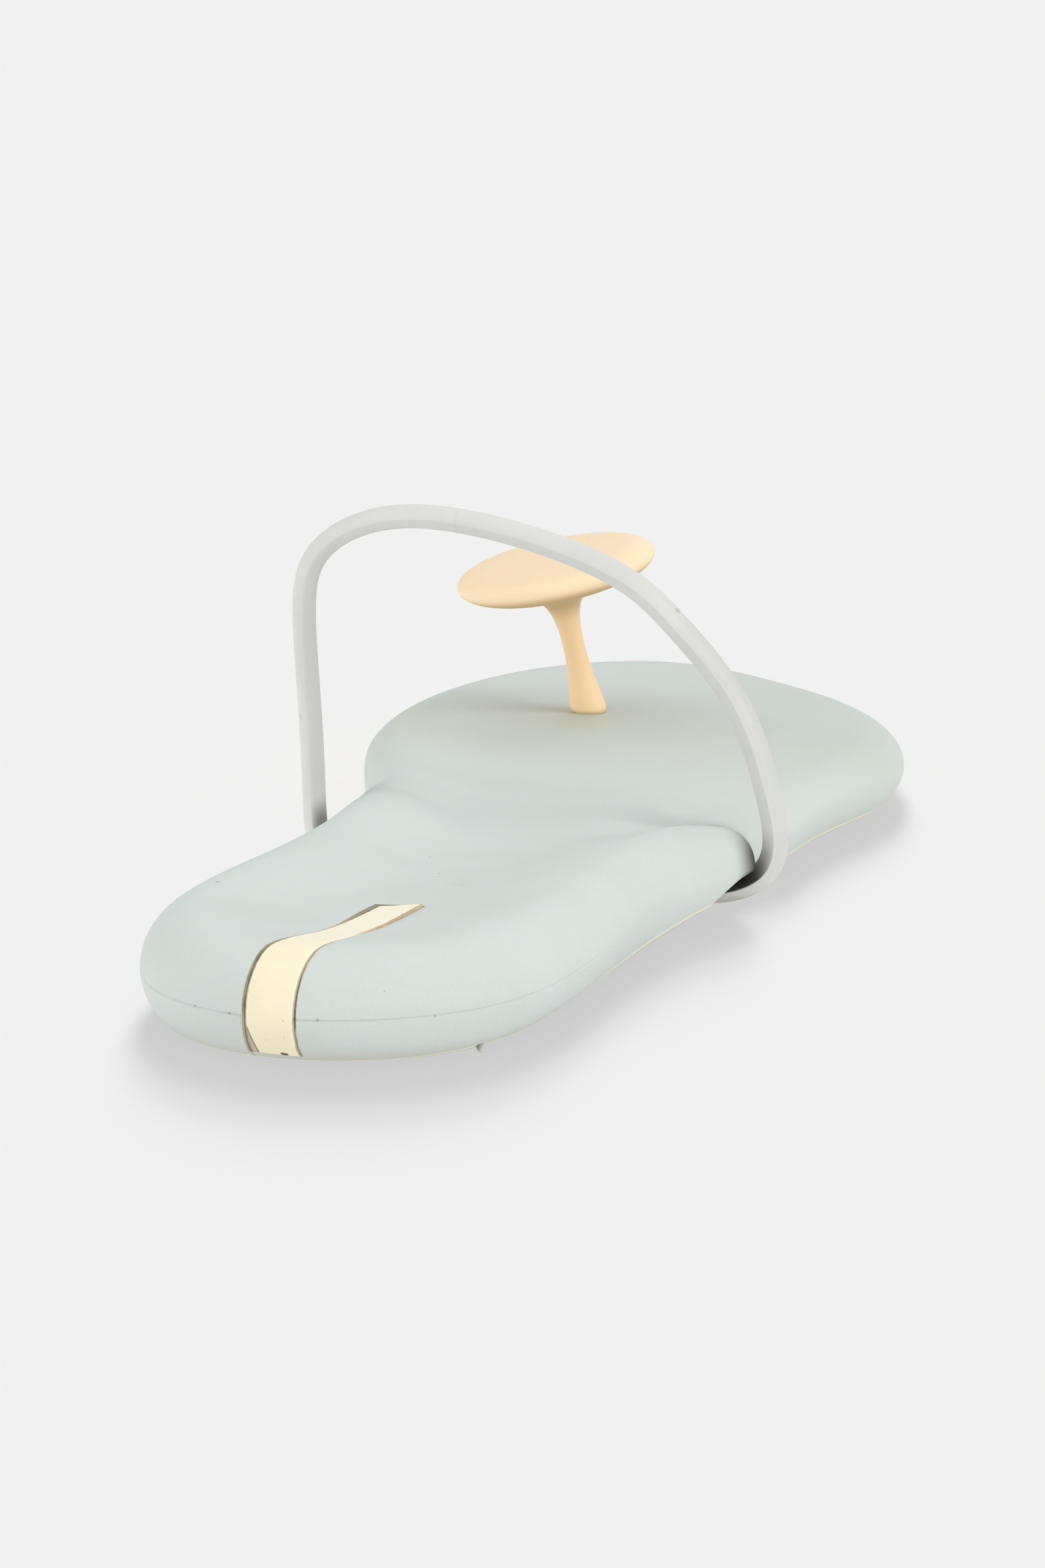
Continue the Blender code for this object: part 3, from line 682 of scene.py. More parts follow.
def make_toe_post(foot):
    """Oval rings up a leaning axis; they turn from level at the foot to square to the axis higher up.

    Heights and half lengths lie on one smooth closed curve through the rows and their mirror image. The
    chart is the cosine of the turn, and the share of the height.
    """
    axis = np.array([*POST_LEAN, 1.0])
    top_row = (POST_TOP_HEIGHT, 0.0, 0.0)
    mirrored = POST_ROWS[::-1] * (1, -1, -1)
    profile = ClosedCurve(np.concatenate([POST_ROWS, [top_row], mirrored]))
    top_place = profile.knots[len(POST_ROWS)]
    rows = profile.at(np.linspace(0, top_place, POST_RINGS, endpoint=False))[0]
    height, half_across, half_along = rows.T[:, :, None]

    normal = unit(UPWARDS + (unit(axis) - UPWARDS) * eased(height / POST_UPRIGHT_HEIGHT))
    across = unit(np.cross([0.0, 1.0, 0.0], normal))
    along = np.cross(normal, across)
    turn = full_turn(POST_SIDES)
    rings = (
        (foot + axis * height)[:, None]
        + across[:, None] * (half_across * np.cos(turn))[..., None]
        + along[:, None] * (half_along * np.sin(turn))[..., None]
    )
    plug_heights = (-PLUG_DEPTH, -GAP)
    rings = np.concatenate([upright_rings(foot, PLUG_RADIUS, plug_heights), rings])
    poles = [foot + axis * POST_TOP_HEIGHT, foot - UPWARDS * PLUG_DEPTH]
    points = np.concatenate([rings.reshape(-1, 3), poles])
    numbers = numbered(rings)
    closed = closed_rows(numbers)
    caps = [fan_faces(len(points) - 2, closed[-1]), fan_faces(len(points) - 1, closed[0, ::-1])]
    level = np.concatenate([np.zeros(len(plug_heights)), rows[:, 0] / POST_TOP_HEIGHT])
    chart = np.stack(np.broadcast_arrays(np.cos(turn), level[:, None]), axis=-1).reshape(-1, 2)
    chart = np.concatenate([chart, [(0.0, 1.0), (0.0, 0.0)]])
    post = surface_object("toe_post_body", points, [ring_faces(numbers), *caps], chart)
    post.data.set_sharp_from_angle(angle=SHARP_ANGLE)
    return post


def make_socket(foot):
    """Round cutter for the blind socket that takes the post's plug."""
    rings = upright_rings(foot, PLUG_RADIUS + GAP, (-PLUG_DEPTH - GAP, PLUG_DEPTH))
    numbers = numbered(rings)
    return surface_object("socket_cutter", rings.reshape(-1, 3), [ring_faces(numbers), numbers])


def tape_line(along):
    """Across position of the tape's centre line, which is straight in plan."""
    slope = (TAPE_END[0] - TAPE_BACK[0]) / (TAPE_END[1] - TAPE_BACK[1])
    return TAPE_BACK[0] + slope * (along - TAPE_BACK[1])


def tape_half_width(along):
    """Half width of the tape, which narrows evenly towards its end on the footbed."""
    narrowing = (TAPE_END_WIDTH - TAPE_BACK_WIDTH) / (TAPE_END[1] - TAPE_BACK[1]) / 2
    return TAPE_BACK_WIDTH / 2 + narrowing * (along - TAPE_BACK[1])


def heel_band(margin, last_angle):
    """Grid of points on the sole's surface under the tape, from its end on the footbed to its lower end.

    Columns run across the tape, widened by margin on each side. On the rounded side a column's place is
    where the inset edge crosses it.
    """
    columns = np.linspace(-1, 1, TAPE_COLUMNS + 1)
    angles = np.concatenate(
        [np.linspace(np.pi / 2, 0, TAPE_EDGE_ROWS), np.linspace(0, last_angle, TAPE_EDGE_ROWS // 2)[1:]]
    )
    places = np.linspace(-HEEL_SPAN, HEEL_SPAN, HEEL_SAMPLES)
    edge_rows = []
    for angle in angles:
        plan = edge_plan(places, angle)
        aside = (plan[:, 0] - tape_line(plan[:, 1])) / (tape_half_width(plan[:, 1]) + margin)
        edge_rows.append(edge_points(np.interp(columns, aside, places), angle))
    share = np.linspace(0, 1, TAPE_TOP_ROWS, endpoint=False)[:, None]
    along = (TAPE_END[1] + margin) * (1 - share) + edge_rows[0][:, 1] * share
    plan = np.stack([tape_line(along) + columns * (tape_half_width(along) + margin), along], axis=-1)
    return np.concatenate([footbed_points(plan), np.array(edge_rows)])


def upward_normals(grid):
    """Unit normals of a grid: the cross product of its gradients, turned so that the first row's face up."""
    normal = unit(np.cross(np.gradient(grid, axis=1), np.gradient(grid, axis=0)))
    return normal * np.sign(normal[0, 0, 2])


def make_tape_channel():
    """Cutter between the band raised above the sole and the band sunk below the tape."""
    grid = heel_band(GAP, TAPE_CHANNEL_LAST_ANGLE)
    normal = upward_normals(grid)
    top, bottom = grid + normal * TAPE_CHANNEL_PROUD, grid - normal * (TAPE_THICKNESS + GAP)
    outer = numbered(top)
    inner = numbered(bottom, outer.size)
    rims = []
    for sheet in (outer, inner):
        rims.append(np.concatenate([sheet[0], sheet[1:, -1], sheet[-1, -2::-1], sheet[-2:0:-1, 0]]))
    points = np.concatenate([top.reshape(-1, 3), bottom.reshape(-1, 3)])
    blocks = [grid_faces(outer), grid_faces(inner), ring_faces(np.array(rims))]
    return surface_object("channel_cutter", points, blocks)


def make_heel_tape():
    """A rectangle with rounded upper corners carried along the band.

    Each row of the band is read at the section's places across, and moved along the surface's normal by the
    section's heights. The chart is the place across, from -1 to 1, and the row's share of the length.
    """
    grid = heel_band(TAPE_SWELL, TAPE_LAST_ANGLE - TAPE_SWELL_ANGLE)
    normal = upward_normals(grid)
    corner = np.linspace(0, np.pi / 2, TAPE_CORNER_STEPS)
    corner_across = 1 - TAPE_EDGE_RADIUS / (TAPE_BACK_WIDTH / 2) * (1 - np.cos(corner))
    corner_height = -TAPE_EDGE_RADIUS * (1 - np.sin(corner))
    middle = np.linspace(corner_across[-1], -corner_across[-1], TAPE_COLUMNS)[1:-1]
    places = np.concatenate([[1.0], corner_across, middle, -corner_across[::-1], [-1.0]])
    top, bottom = np.zeros(len(middle)), [-TAPE_THICKNESS]
    heights = np.concatenate([bottom, corner_height, top, corner_height[::-1], bottom])
    bends = (0, TAPE_TOP_ROWS, TAPE_TOP_ROWS + TAPE_EDGE_ROWS)
    proud = np.interp(np.arange(len(grid)), bends, TAPE_PROUD)
    heights = heights + proud[:, None] * (places + 1) / 2

    column = (places + 1) / 2 * TAPE_COLUMNS
    left = np.clip(column.astype(int), 0, TAPE_COLUMNS - 1)
    share = (column - left)[None, :, None]
    base = grid[:, left] * (1 - share) + grid[:, left + 1] * share
    direction = normal[:, left] * (1 - share) + normal[:, left + 1] * share
    points = base + direction * heights[..., None]
    numbers = numbered(points)
    blocks = [ring_faces(numbers), numbers[[0, -1]]]
    length = np.linspace(0, 1, len(points))
    chart = np.stack(np.broadcast_arrays(places[None, :], length[:, None]), axis=-1)
    tape = surface_object("tape_strip", points.reshape(-1, 3), blocks, chart.reshape(-1, 2))
    tape.data.set_sharp_from_angle(angle=SHARP_ANGLE)
    return tape


def make_flash_tag():
    """Small spur: circles along a straight line whose radius falls as the square root of what is left.

    Its chart is one place on the sole's side, just above the bottom edge.
    """
    direction = unit(np.array(TAG_DIRECTION))
    across = unit(np.cross(direction, UPWARDS))
    above = np.cross(across, direction)
    share = np.linspace(0, 1, TAG_RINGS, endpoint=False)[:, None]
    turn = full_turn(TAG_SIDES)
    radius = TAG_RADIUS * np.sqrt(1 - share)
    rings = (
        (np.array(TAG_PLACE) + direction * TAG_LENGTH * share)[:, None]
        + across * (radius * np.cos(turn))[..., None]
        + above * (radius * np.sin(turn))[..., None]
    )
    tip = np.array(TAG_PLACE) + direction * TAG_LENGTH
    numbers = numbered(rings)
    points = np.concatenate([rings.reshape(-1, 3), [tip]])
    chart = np.tile(TAG_CHART, (len(points), 1))
    blocks = [ring_faces(numbers), fan_faces(len(points) - 1, closed_rows(numbers)[-1]), numbers[:1]]
    return surface_object("flash_tag", points, blocks, chart)


class Field:
    """A number or colour that varies over a surface; arithmetic on it adds Math nodes."""

    def __init__(self, paint, socket):
        self.paint = paint
        self.socket = socket

    def __add__(self, other):
        return self.paint.maths("ADD", self, other)

    def __radd__(self, other):
        return self.paint.maths("ADD", other, self)

    def __sub__(self, other):
        return self.paint.maths("SUBTRACT", self, other)

    def __rsub__(self, other):
        return self.paint.maths("SUBTRACT", other, self)

    def __mul__(self, other):
        return self.paint.maths("MULTIPLY", self, other)

    def __rmul__(self, other):
        return self.paint.maths("MULTIPLY", other, self)

    def __abs__(self):
        return self.paint.maths("ABSOLUTE", self)


class Paint:
    """A material and the few kinds of node that the finishes are made of."""

    def __init__(self, name):
        self.material = bpy.data.materials.new(name)
        self.material.use_nodes = True
        self.tree = self.material.node_tree
        self.shader = self.tree.nodes["Principled BSDF"]
        self.place = self.node("ShaderNodeTexCoord", {}, {}, "Object")
        self.across, self.along, self.height = (self.part(self.place, axis) for axis in "XYZ")

    def plug(self, socket, value):
        """Links a field to a socket, or sets the socket's value."""
        if isinstance(value, Field):
            self.tree.links.new(value.socket, socket)
        elif socket.type == "RGBA":
            socket.default_value = (*value, 1.0)
        else:
            socket.default_value = value

    def node(self, kind, settings, inputs, output=0):
        """Adds a node: its settings are set first, then its sockets; the field is one of its outputs."""
        made = self.tree.nodes.new(kind)
        for key, value in settings.items():
            setattr(made, key, value)
        for key, value in inputs.items():
            self.plug(made.inputs[key], value)
        return Field(self, made.outputs[output])

    def part(self, vector, axis):
        """One coordinate of a vector."""
        return self.node("ShaderNodeSeparateXYZ", {}, {"Vector": vector}, axis)

    def maths(self, operation, *values):
        """One Math node on numbers and fields."""
        return self.node("ShaderNodeMath", {"operation": operation}, dict(enumerate(values)))

    def ramp(self, value, start, end):
        """0 at start and 1 at end, with a smooth step between them; start may be the larger."""
        return self.node(
            "ShaderNodeMapRange",
            {"interpolation_type": "SMOOTHSTEP"},
            {"Value": value, "From Min": start, "From Max": end},
        )

    def band(self, value, name):
        """The ramp over one of the named bands."""
        return self.ramp(value, *BANDS[name])

    def noise(self, scale, detail=2.0):
        """Soft noise from 0 to 1 with this many features to the metre."""
        return self.node("ShaderNodeTexNoise", {}, {"Vector": self.place, "Scale": scale, "Detail": detail})

    def specks(self, scale, radius, share):
        """Round specks: one in each cell of a random mesh, of which this share is kept."""
        cells = {"Vector": self.place, "Scale": scale}
        distance = self.node("ShaderNodeTexVoronoi", {}, cells, "Distance")
        colour = self.node("ShaderNodeTexVoronoi", {}, cells, "Color")
        chance = self.node("ShaderNodeSeparateColor", {}, {"Color": colour}, "Red")
        return self.ramp(distance, radius, radius / 3) * self.ramp(chance, 1 - share, 1 - share / 2)

    def spot(self, centre, radius):
        """1 near a point of the surface, falling to 0 at a radius round it."""
        ends = {0: self.place, 1: centre}
        distance = self.node("ShaderNodeVectorMath", {"operation": "DISTANCE"}, ends, "Value")
        return self.ramp(distance, radius, radius / 3)

    def blend(self, share, first, second):
        """The first colour passing to the second."""
        sockets = {0: share, 6: first, 7: second}
        return self.node("ShaderNodeMix", {"data_type": "RGBA"}, sockets, 2)

    def chart(self, axis):
        """One coordinate of the piece's own chart."""
        return self.part(self.node("ShaderNodeUVMap", {"uv_map": "chart"}, {}), axis)

    def relief(self, height, depth):
        """Bump of this depth in metres from a height that runs from 0 to 1."""
        return self.node("ShaderNodeBump", {}, {"Height": height, "Distance": depth, "Strength": 1.0})

    def finish(self, **sockets):
        """Fills the shader's sockets, named with underscores for spaces, and gives the material."""
        for name, value in sockets.items():
            self.plug(self.shader.inputs[name.replace("_", " ")], value)
        return self.material


# Colours, linear
HEEL_BLUE = (0.680, 0.740, 0.715)
FOREFOOT_GREY = (0.616, 0.676, 0.646)
LEE_PAINTED_LIGHT = (0.790, 0.850, 0.820)
CLOUD_GREY = (0.635, 0.685, 0.655)
SIDE_WARM = (0.680, 0.715, 0.680)
EDGE_BEIGE = (0.620, 0.575, 0.440)
EDGE_CREAM = (0.930, 0.880, 0.680)
MOTTLE_GREY = (0.480, 0.510, 0.480)
TOE_SOIL_AND_SHADE = (0.450, 0.462, 0.400)
WARM_SOIL = (0.600, 0.620, 0.300)
# Grime; it also paints shade in the strap's recess and in the tape's slit
GRIME_AND_SHADE = (0.115, 0.105, 0.080)
# Near black: dark dirt marks, and painted shade at the pad's nose, the strap's tucked faces and the hook's
# slot
BLACK_DIRT_AND_SHADE = (0.022, 0.020, 0.014)
# Painted shade for the waist's creases
CREASE_SHADE_GREY = (0.120, 0.150, 0.145)
OCHRE = (0.360, 0.235, 0.085)
GOLD = (0.600, 0.430, 0.190)
UMBER = (0.240, 0.180, 0.075)
OLIVE = (0.165, 0.138, 0.045)
SMEAR_GREY = (0.480, 0.430, 0.330)
STRAP_WHITE = (0.716, 0.715, 0.682)
STRAP_SHADE = (0.655, 0.654, 0.630)
STRAP_PAINTED_SHADE = (0.500, 0.500, 0.480)
STRAP_RIDGE = (0.800, 0.800, 0.760)
SMUDGE_BROWN = (0.300, 0.240, 0.160)
POST_PEACH = (0.960, 0.690, 0.400)
POST_PALE = (0.965, 0.775, 0.525)
POST_PAINTED_GLOW = (1.000, 0.730, 0.425)
POST_UNDER_SHADE = (0.560, 0.400, 0.180)
POST_TOP = (0.800, 0.620, 0.420)
TAPE_CREAM = (1.000, 0.902, 0.660)
TAPE_PALE = (1.000, 0.960, 0.830)
TAPE_YELLOW = (0.950, 0.810, 0.560)
TAPE_TAN = (0.560, 0.430, 0.220)
FLOOR_WHITE = (0.900, 0.900, 0.900)

# Specks and scuffs on the sole: where they are and how large
SOLE_MARKS = {
    "parting_left": ((-0.0205, -0.1266, 0.0071), 0.00030),
    "parting_left_of_tape": ((-0.0146, -0.1290, 0.0071), 0.00030),
    "parting_right_of_tape": ((-0.0016, -0.1295, 0.0072), 0.00035),
    "parting_right": ((0.0134, -0.1227, 0.0070), 0.00025),
    "rim_scratch": ((-0.0296, -0.0898, 0.0157), 0.00050),
    "side_scuff": ((0.0069, -0.1256, 0.0108), 0.00030),
    "footbed_middle": ((-0.0013, -0.0689, 0.0139), 0.00030),
    "footbed_front": ((-0.0053, -0.0599, 0.0143), 0.00030),
    "footbed_outer": ((0.0118, -0.0746, 0.0148), 0.00040),
}
TAPE_MARKS = {
    "end_corner": ((0.0019, -0.0890, 0.0137), 0.00045),
    "right_edge": ((-0.0047, -0.1297, 0.0072), 0.00045),
    "lower_end_left": ((-0.0071, -0.1284, 0.0017), 0.00042),
    "lower_end": ((-0.0068, -0.1284, 0.0016), 0.00042),
    "lower_end_right": ((-0.0065, -0.1284, 0.0016), 0.00042),
}
SMEAR_PLACE, SMEAR_RADIUS = (0.0041, -0.0738, 0.0140), 0.0036
# Smudges on the strap: where they are, how large and how strong
STRAP_SMUDGES = {
    "slope": ((0.0259, -0.0257, 0.0483), 0.0007, 0.45),
    "hook": ((0.0437, -0.0228, 0.0117), 0.0006, 0.40),
    "inner_leg": ((-0.0341, -0.0344, 0.0298), 0.0007, 0.15),
}
STRAP_SEAM_ACROSS = -0.0089
# Valley behind the toes, where the footbed is painted darker for soil and shade: where it crosses the
# middle, and how it falls back
VALLEY_ALONG, VALLEY_SLOPE = 0.0733, 0.123
# Depth of each material's grain
FOAM_GRAIN_DEPTH = 0.00006
PLASTIC_GRAIN_DEPTH = 0.00002
TAPE_FIBRE_DEPTH = 0.00004
# Line of dirt and painted gap shade at the tape's left edge: its width, what the far end and the back add to
# it, how softly it ends, how far the edges wander, and how far the dirt reaches in at the nipped lower end
EDGE_LINE_WIDTH = 0.00014
EDGE_LINE_ADDED_AT_END = 0.00095
EDGE_LINE_ADDED_ON_BACK = 0.00036
EDGE_LINE_FADE = 0.00028
EDGE_WANDER = 0.00022
NIP_REACH = 0.0010
# Bands of the finishes: where each one starts and where it is full, in metres
BANDS = {
    # Along the sole
    "forefoot_tone": (-0.020, 0.060),
    "past_waist": (-0.045, -0.020),
    "lee_rear": (-0.036, -0.026),
    "lee_front": (-0.004, -0.016),
    "nose_rear": (-0.0332, -0.0266),
    "nose_front": (-0.0205, -0.0225),
    "line_rise_heel": (-0.129, -0.113),
    "line_rise_shank": (-0.110, -0.050),
    "line_front": (0.075, 0.045),
    "parting_grime": (GROOVE_FADE_END, -0.118),
    "tape_back": (-0.114, -0.122),
    "tape_far_end": (-0.106, -0.092),
    "tape_gold": (-0.117, -0.104),
    "tape_pale_top": (-0.124, -0.112),
    # Along, from the valley behind the toes
    "soil_rear": (-0.065, -0.004),
    "soil_front": (0.026, 0.000),
    "warm_soil_rear": (-0.075, -0.045),
    "warm_soil_front": (0.004, -0.020),
    # Across
    "soil_outer": (0.040, 0.000),
    "lee_outer": (0.030, 0.020),
    "nose_outer": (0.028, 0.034),
    "parting_outer": (0.022, 0.008),
    "inner_leg": (-0.024, -0.031),
    "outer_leg": (0.022, 0.034),
    "inner_rim": (-0.010, -0.020),
    "hook": (0.020, 0.030),
    "hook_slot": (0.024, 0.032),
    # Up
    "nose_top": (0.0158, 0.0095),
    "recess_top": (0.0085, 0.0050),
    "hook_top": (0.0135, 0.0032),
    "hook_slot_top": (0.0088, 0.0048),
    "hook_underside": (0.0034, 0.0010),
    "inner_rim_top": (0.0168, 0.0125),
    "mould_seam_low": (0.030, 0.040),
    "tape_low_end": (0.0010, 0.0016),
    "tape_nip": (0.0066, 0.0016),
    "smear_top": (0.0080, 0.0055),
    "slit_top": (0.0135, 0.0115),
    "slit_low": (0.0048, 0.0066),
    # Aside from the strap's mould seam, from its middle plane or from the tape's centre line
    "mould_seam": (0.0004, 0.0001),
    "recess_side": (0.0085, 0.0045),
    "tape_left": (0.0005, -0.0005),
    # Outwards from the tape's edge
    "edge_line_inner": (-0.00018, 0.00002),
    "smear_inner": (0.0, 0.0002),
    "smear_outer": (0.0011, 0.0004),
    "gold_inner": (0.00002, 0.00012),
    "gold_outer": (0.00048, 0.00034),
    "slit_inner": (0.00020, 0.00030),
    "slit_outer": (0.00056, 0.00044),
    "nip_edge": (-0.00006, 0.00006),
    "nip_line": (0.00020, 0.00008),
}


def tape_place(paint):
    """Place aside from the tape's centre line, and distance outside its edges in plan, less than 0 on it."""
    aside = paint.across - tape_line(paint.along)
    past_edge = abs(aside) - tape_half_width(paint.along)
    return aside, paint.maths("MAXIMUM", past_edge, paint.along - TAPE_END[1])


def tape_dirt_and_gap_shade(paint, colour):
    """Dirt along the tape's edges, with painted shade of the narrow gaps beside it, worked out from the
    place in space so that sole and tape agree.

    On the left a line of dirt and painted gap shade widens at the tape's end and on the back of the heel. On
    the right a golden edge thins out towards the bend, and a dark line of grime and painted gap shade runs
    down the back.
    """
    aside, outside = tape_place(paint)
    outside = outside + EDGE_WANDER * (paint.noise(900) - 0.5)
    streak = paint.ramp(paint.noise(420, 3.0), 0.35, 0.62)
    above_end = paint.band(paint.height, "tape_low_end")
    left = paint.band(aside, "tape_left")
    right = 1 - left
    back = paint.band(paint.along, "tape_back")
    far_end = paint.band(paint.along, "tape_far_end")

    # The left line is dirt and painted shade of the gap beside the tape
    width = EDGE_LINE_WIDTH + EDGE_LINE_ADDED_AT_END * far_end + EDGE_LINE_ADDED_ON_BACK * back
    line = left * paint.ramp(outside, width + EDGE_LINE_FADE, width) * paint.band(outside, "edge_line_inner")
    shade = paint.blend(far_end, paint.blend(back, TAPE_TAN, OLIVE), UMBER)
    shade = paint.blend(0.55 * streak * back, shade, TAPE_TAN)
    colour = paint.blend(0.85 * line * above_end, colour, shade)

    low = paint.band(paint.height, "smear_top")
    smear = left * back * low * paint.band(outside, "smear_inner") * paint.band(outside, "smear_outer")
    colour = paint.blend(0.40 * smear, colour, SMEAR_GREY)

    edge = paint.band(outside, "gold_inner") * paint.band(outside, "gold_outer")
    golden = right * edge * (paint.band(paint.along, "tape_gold") + back)
    colour = paint.blend(0.85 * golden * above_end, colour, paint.blend(0.4 * streak, GOLD, UMBER))
    # The dark slit line on the back is grime and painted shade of the gap
    middle = paint.band(paint.height, "slit_top") * paint.band(paint.height, "slit_low")
    slit = right * back * paint.band(outside, "slit_inner") * paint.band(outside, "slit_outer")
    colour = paint.blend(slit * (0.40 + 0.50 * middle) * (0.55 + 0.45 * streak) * above_end, colour, GRIME_AND_SHADE)
    for centre, radius in TAPE_MARKS.values():
        colour = paint.blend(0.95 * paint.spot(centre, radius), colour, BLACK_DIRT_AND_SHADE)
    return colour


def foam_tones(paint, turn, cloud):
    """Broad tones of the foam: blue-grey heel, greyer forefoot with soil and painted shade behind the toes,
    painted light on the lee of the waist's crest, and a cream edge.
    """
    colour = paint.blend(paint.band(paint.along, "forefoot_tone"), HEEL_BLUE, FOREFOOT_GREY)
    past_valley = paint.along + VALLEY_SLOPE * paint.across - VALLEY_ALONG
    # Soil and painted shade in the valley behind the toes
    soil_and_shade = paint.band(past_valley, "soil_rear") * paint.band(past_valley, "soil_front")
    soil_and_shade = soil_and_shade * paint.band(paint.across, "soil_outer") * (0.75 + 0.5 * paint.noise(55, 3.0))
    colour = paint.blend(0.22 * soil_and_shade * paint.ramp(turn, 0.80, 1.0), colour, TOE_SOIL_AND_SHADE)
    warm = paint.band(past_valley, "warm_soil_rear") * paint.band(past_valley, "warm_soil_front")
    colour = paint.blend(0.10 * warm, colour, WARM_SOIL)
    colour = paint.blend(0.5 * paint.ramp(cloud, 0.42, 0.70), colour, CLOUD_GREY)
    # Painted light: the slope behind the waist's crest is made paler, against the shade it gets
    lee = paint.band(paint.along, "lee_rear") * paint.band(paint.along, "lee_front")
    colour = paint.blend(0.35 * lee * paint.band(paint.across, "lee_outer"), colour, LEE_PAINTED_LIGHT)
    on_side = paint.ramp(abs(turn), 0.75, 0.35)
    colour = paint.blend(0.45 * on_side * paint.ramp(paint.noise(60), 0.35, 0.65), colour, SIDE_WARM)
    mottle = paint.noise(1900, 2.0)
    colour = paint.blend(0.16 * mottle, colour, MOTTLE_GREY)
    forefoot = paint.band(paint.along, "past_waist")
    colour = paint.blend((0.45 - 0.33 * forefoot) * paint.ramp(turn, -0.35, -0.78), colour, EDGE_BEIGE)
    heel_rise = 0.20 * paint.band(paint.along, "line_rise_heel")
    shank_rise = 0.21 * paint.band(paint.along, "line_rise_shank")
    low = turn - (heel_rise + shank_rise) - 0.04 * forefoot
    cream = paint.ramp(low, -0.835, -0.865) * paint.ramp(low, -0.955, -0.925)
    return paint.blend(0.85 * cream * paint.band(paint.along, "line_front"), colour, EDGE_CREAM)


def sole_finish():
    """Matte foam with fine grain, painted shade in the waist's creases, at the pad's nose and in the strap's
    recess, a grimy parting line, specks, and dirt and painted gap shade at the tape.
    """
    paint = Paint("sole_foam")
    turn = paint.chart("Y")
    cloud = paint.noise(42, 4.0)
    colour = foam_tones(paint, turn, cloud)
    streak = paint.noise(190, 3.0)
    # Painted shade in the waist's creases, darker where the folds are deeper
    crease = paint.ramp(paint.chart("X"), 0.06, 0.62)
    colour = paint.blend(0.80 * crease, colour, CREASE_SHADE_GREY)
    # Painted shade: the front of the pad's nose, by the strap's notch, turns nearly black
    nose = paint.band(paint.along, "nose_rear") * paint.band(paint.along, "nose_front")
    nose = nose * paint.band(paint.across, "nose_outer") * paint.band(paint.height, "nose_top")
    colour = paint.blend(0.95 * nose, colour, BLACK_DIRT_AND_SHADE)
    at_heel = paint.band(paint.along, "parting_grime")
    seam = paint.ramp(abs(turn), 0.020, 0.004) * at_heel
    faint = paint.band(paint.across, "parting_outer")
    colour = paint.blend(seam * faint * (0.04 + 0.14 * paint.ramp(streak, 0.40, 0.70)), colour, GRIME_AND_SHADE)
    flecks = paint.specks(420, 0.12, 0.05) * paint.ramp(abs(turn), 0.08, 0.02) * at_heel
    colour = paint.blend(0.6 * flecks, colour, GRIME_AND_SHADE)
    colour = paint.blend(0.25 * paint.specks(160, 0.045, 0.05), colour, SMUDGE_BROWN)

    colour = tape_dirt_and_gap_shade(paint, colour)
    # Painted shade in the recess where the strap comes up past the sole's side
    from_strap = abs(paint.along - strap_along(paint.across))
    recess = paint.band(from_strap, "recess_side") * paint.band(paint.height, "recess_top")
    colour = paint.blend(0.85 * recess, colour, GRIME_AND_SHADE)

    for centre, radius in SOLE_MARKS.values():
        colour = paint.blend(0.45 * paint.spot(centre, radius), colour, GRIME_AND_SHADE)
    smear = paint.spot(SMEAR_PLACE, SMEAR_RADIUS) * paint.ramp(paint.noise(260, 3.0), 0.45, 0.70)
    colour = paint.blend(0.16 * smear, colour, OCHRE)

    grain = paint.noise(2300, 3.0)
    height = 0.8 * grain + 0.5 * paint.noise(700) - 0.9 * seam
    roughness = 0.56 + 0.14 * grain + 0.08 * cloud
    return paint.finish(
        Base_Color=colour,
        Roughness=roughness,
        Normal=paint.relief(height, FOAM_GRAIN_DEPTH),
        Specular_IOR_Level=0.35,
    )


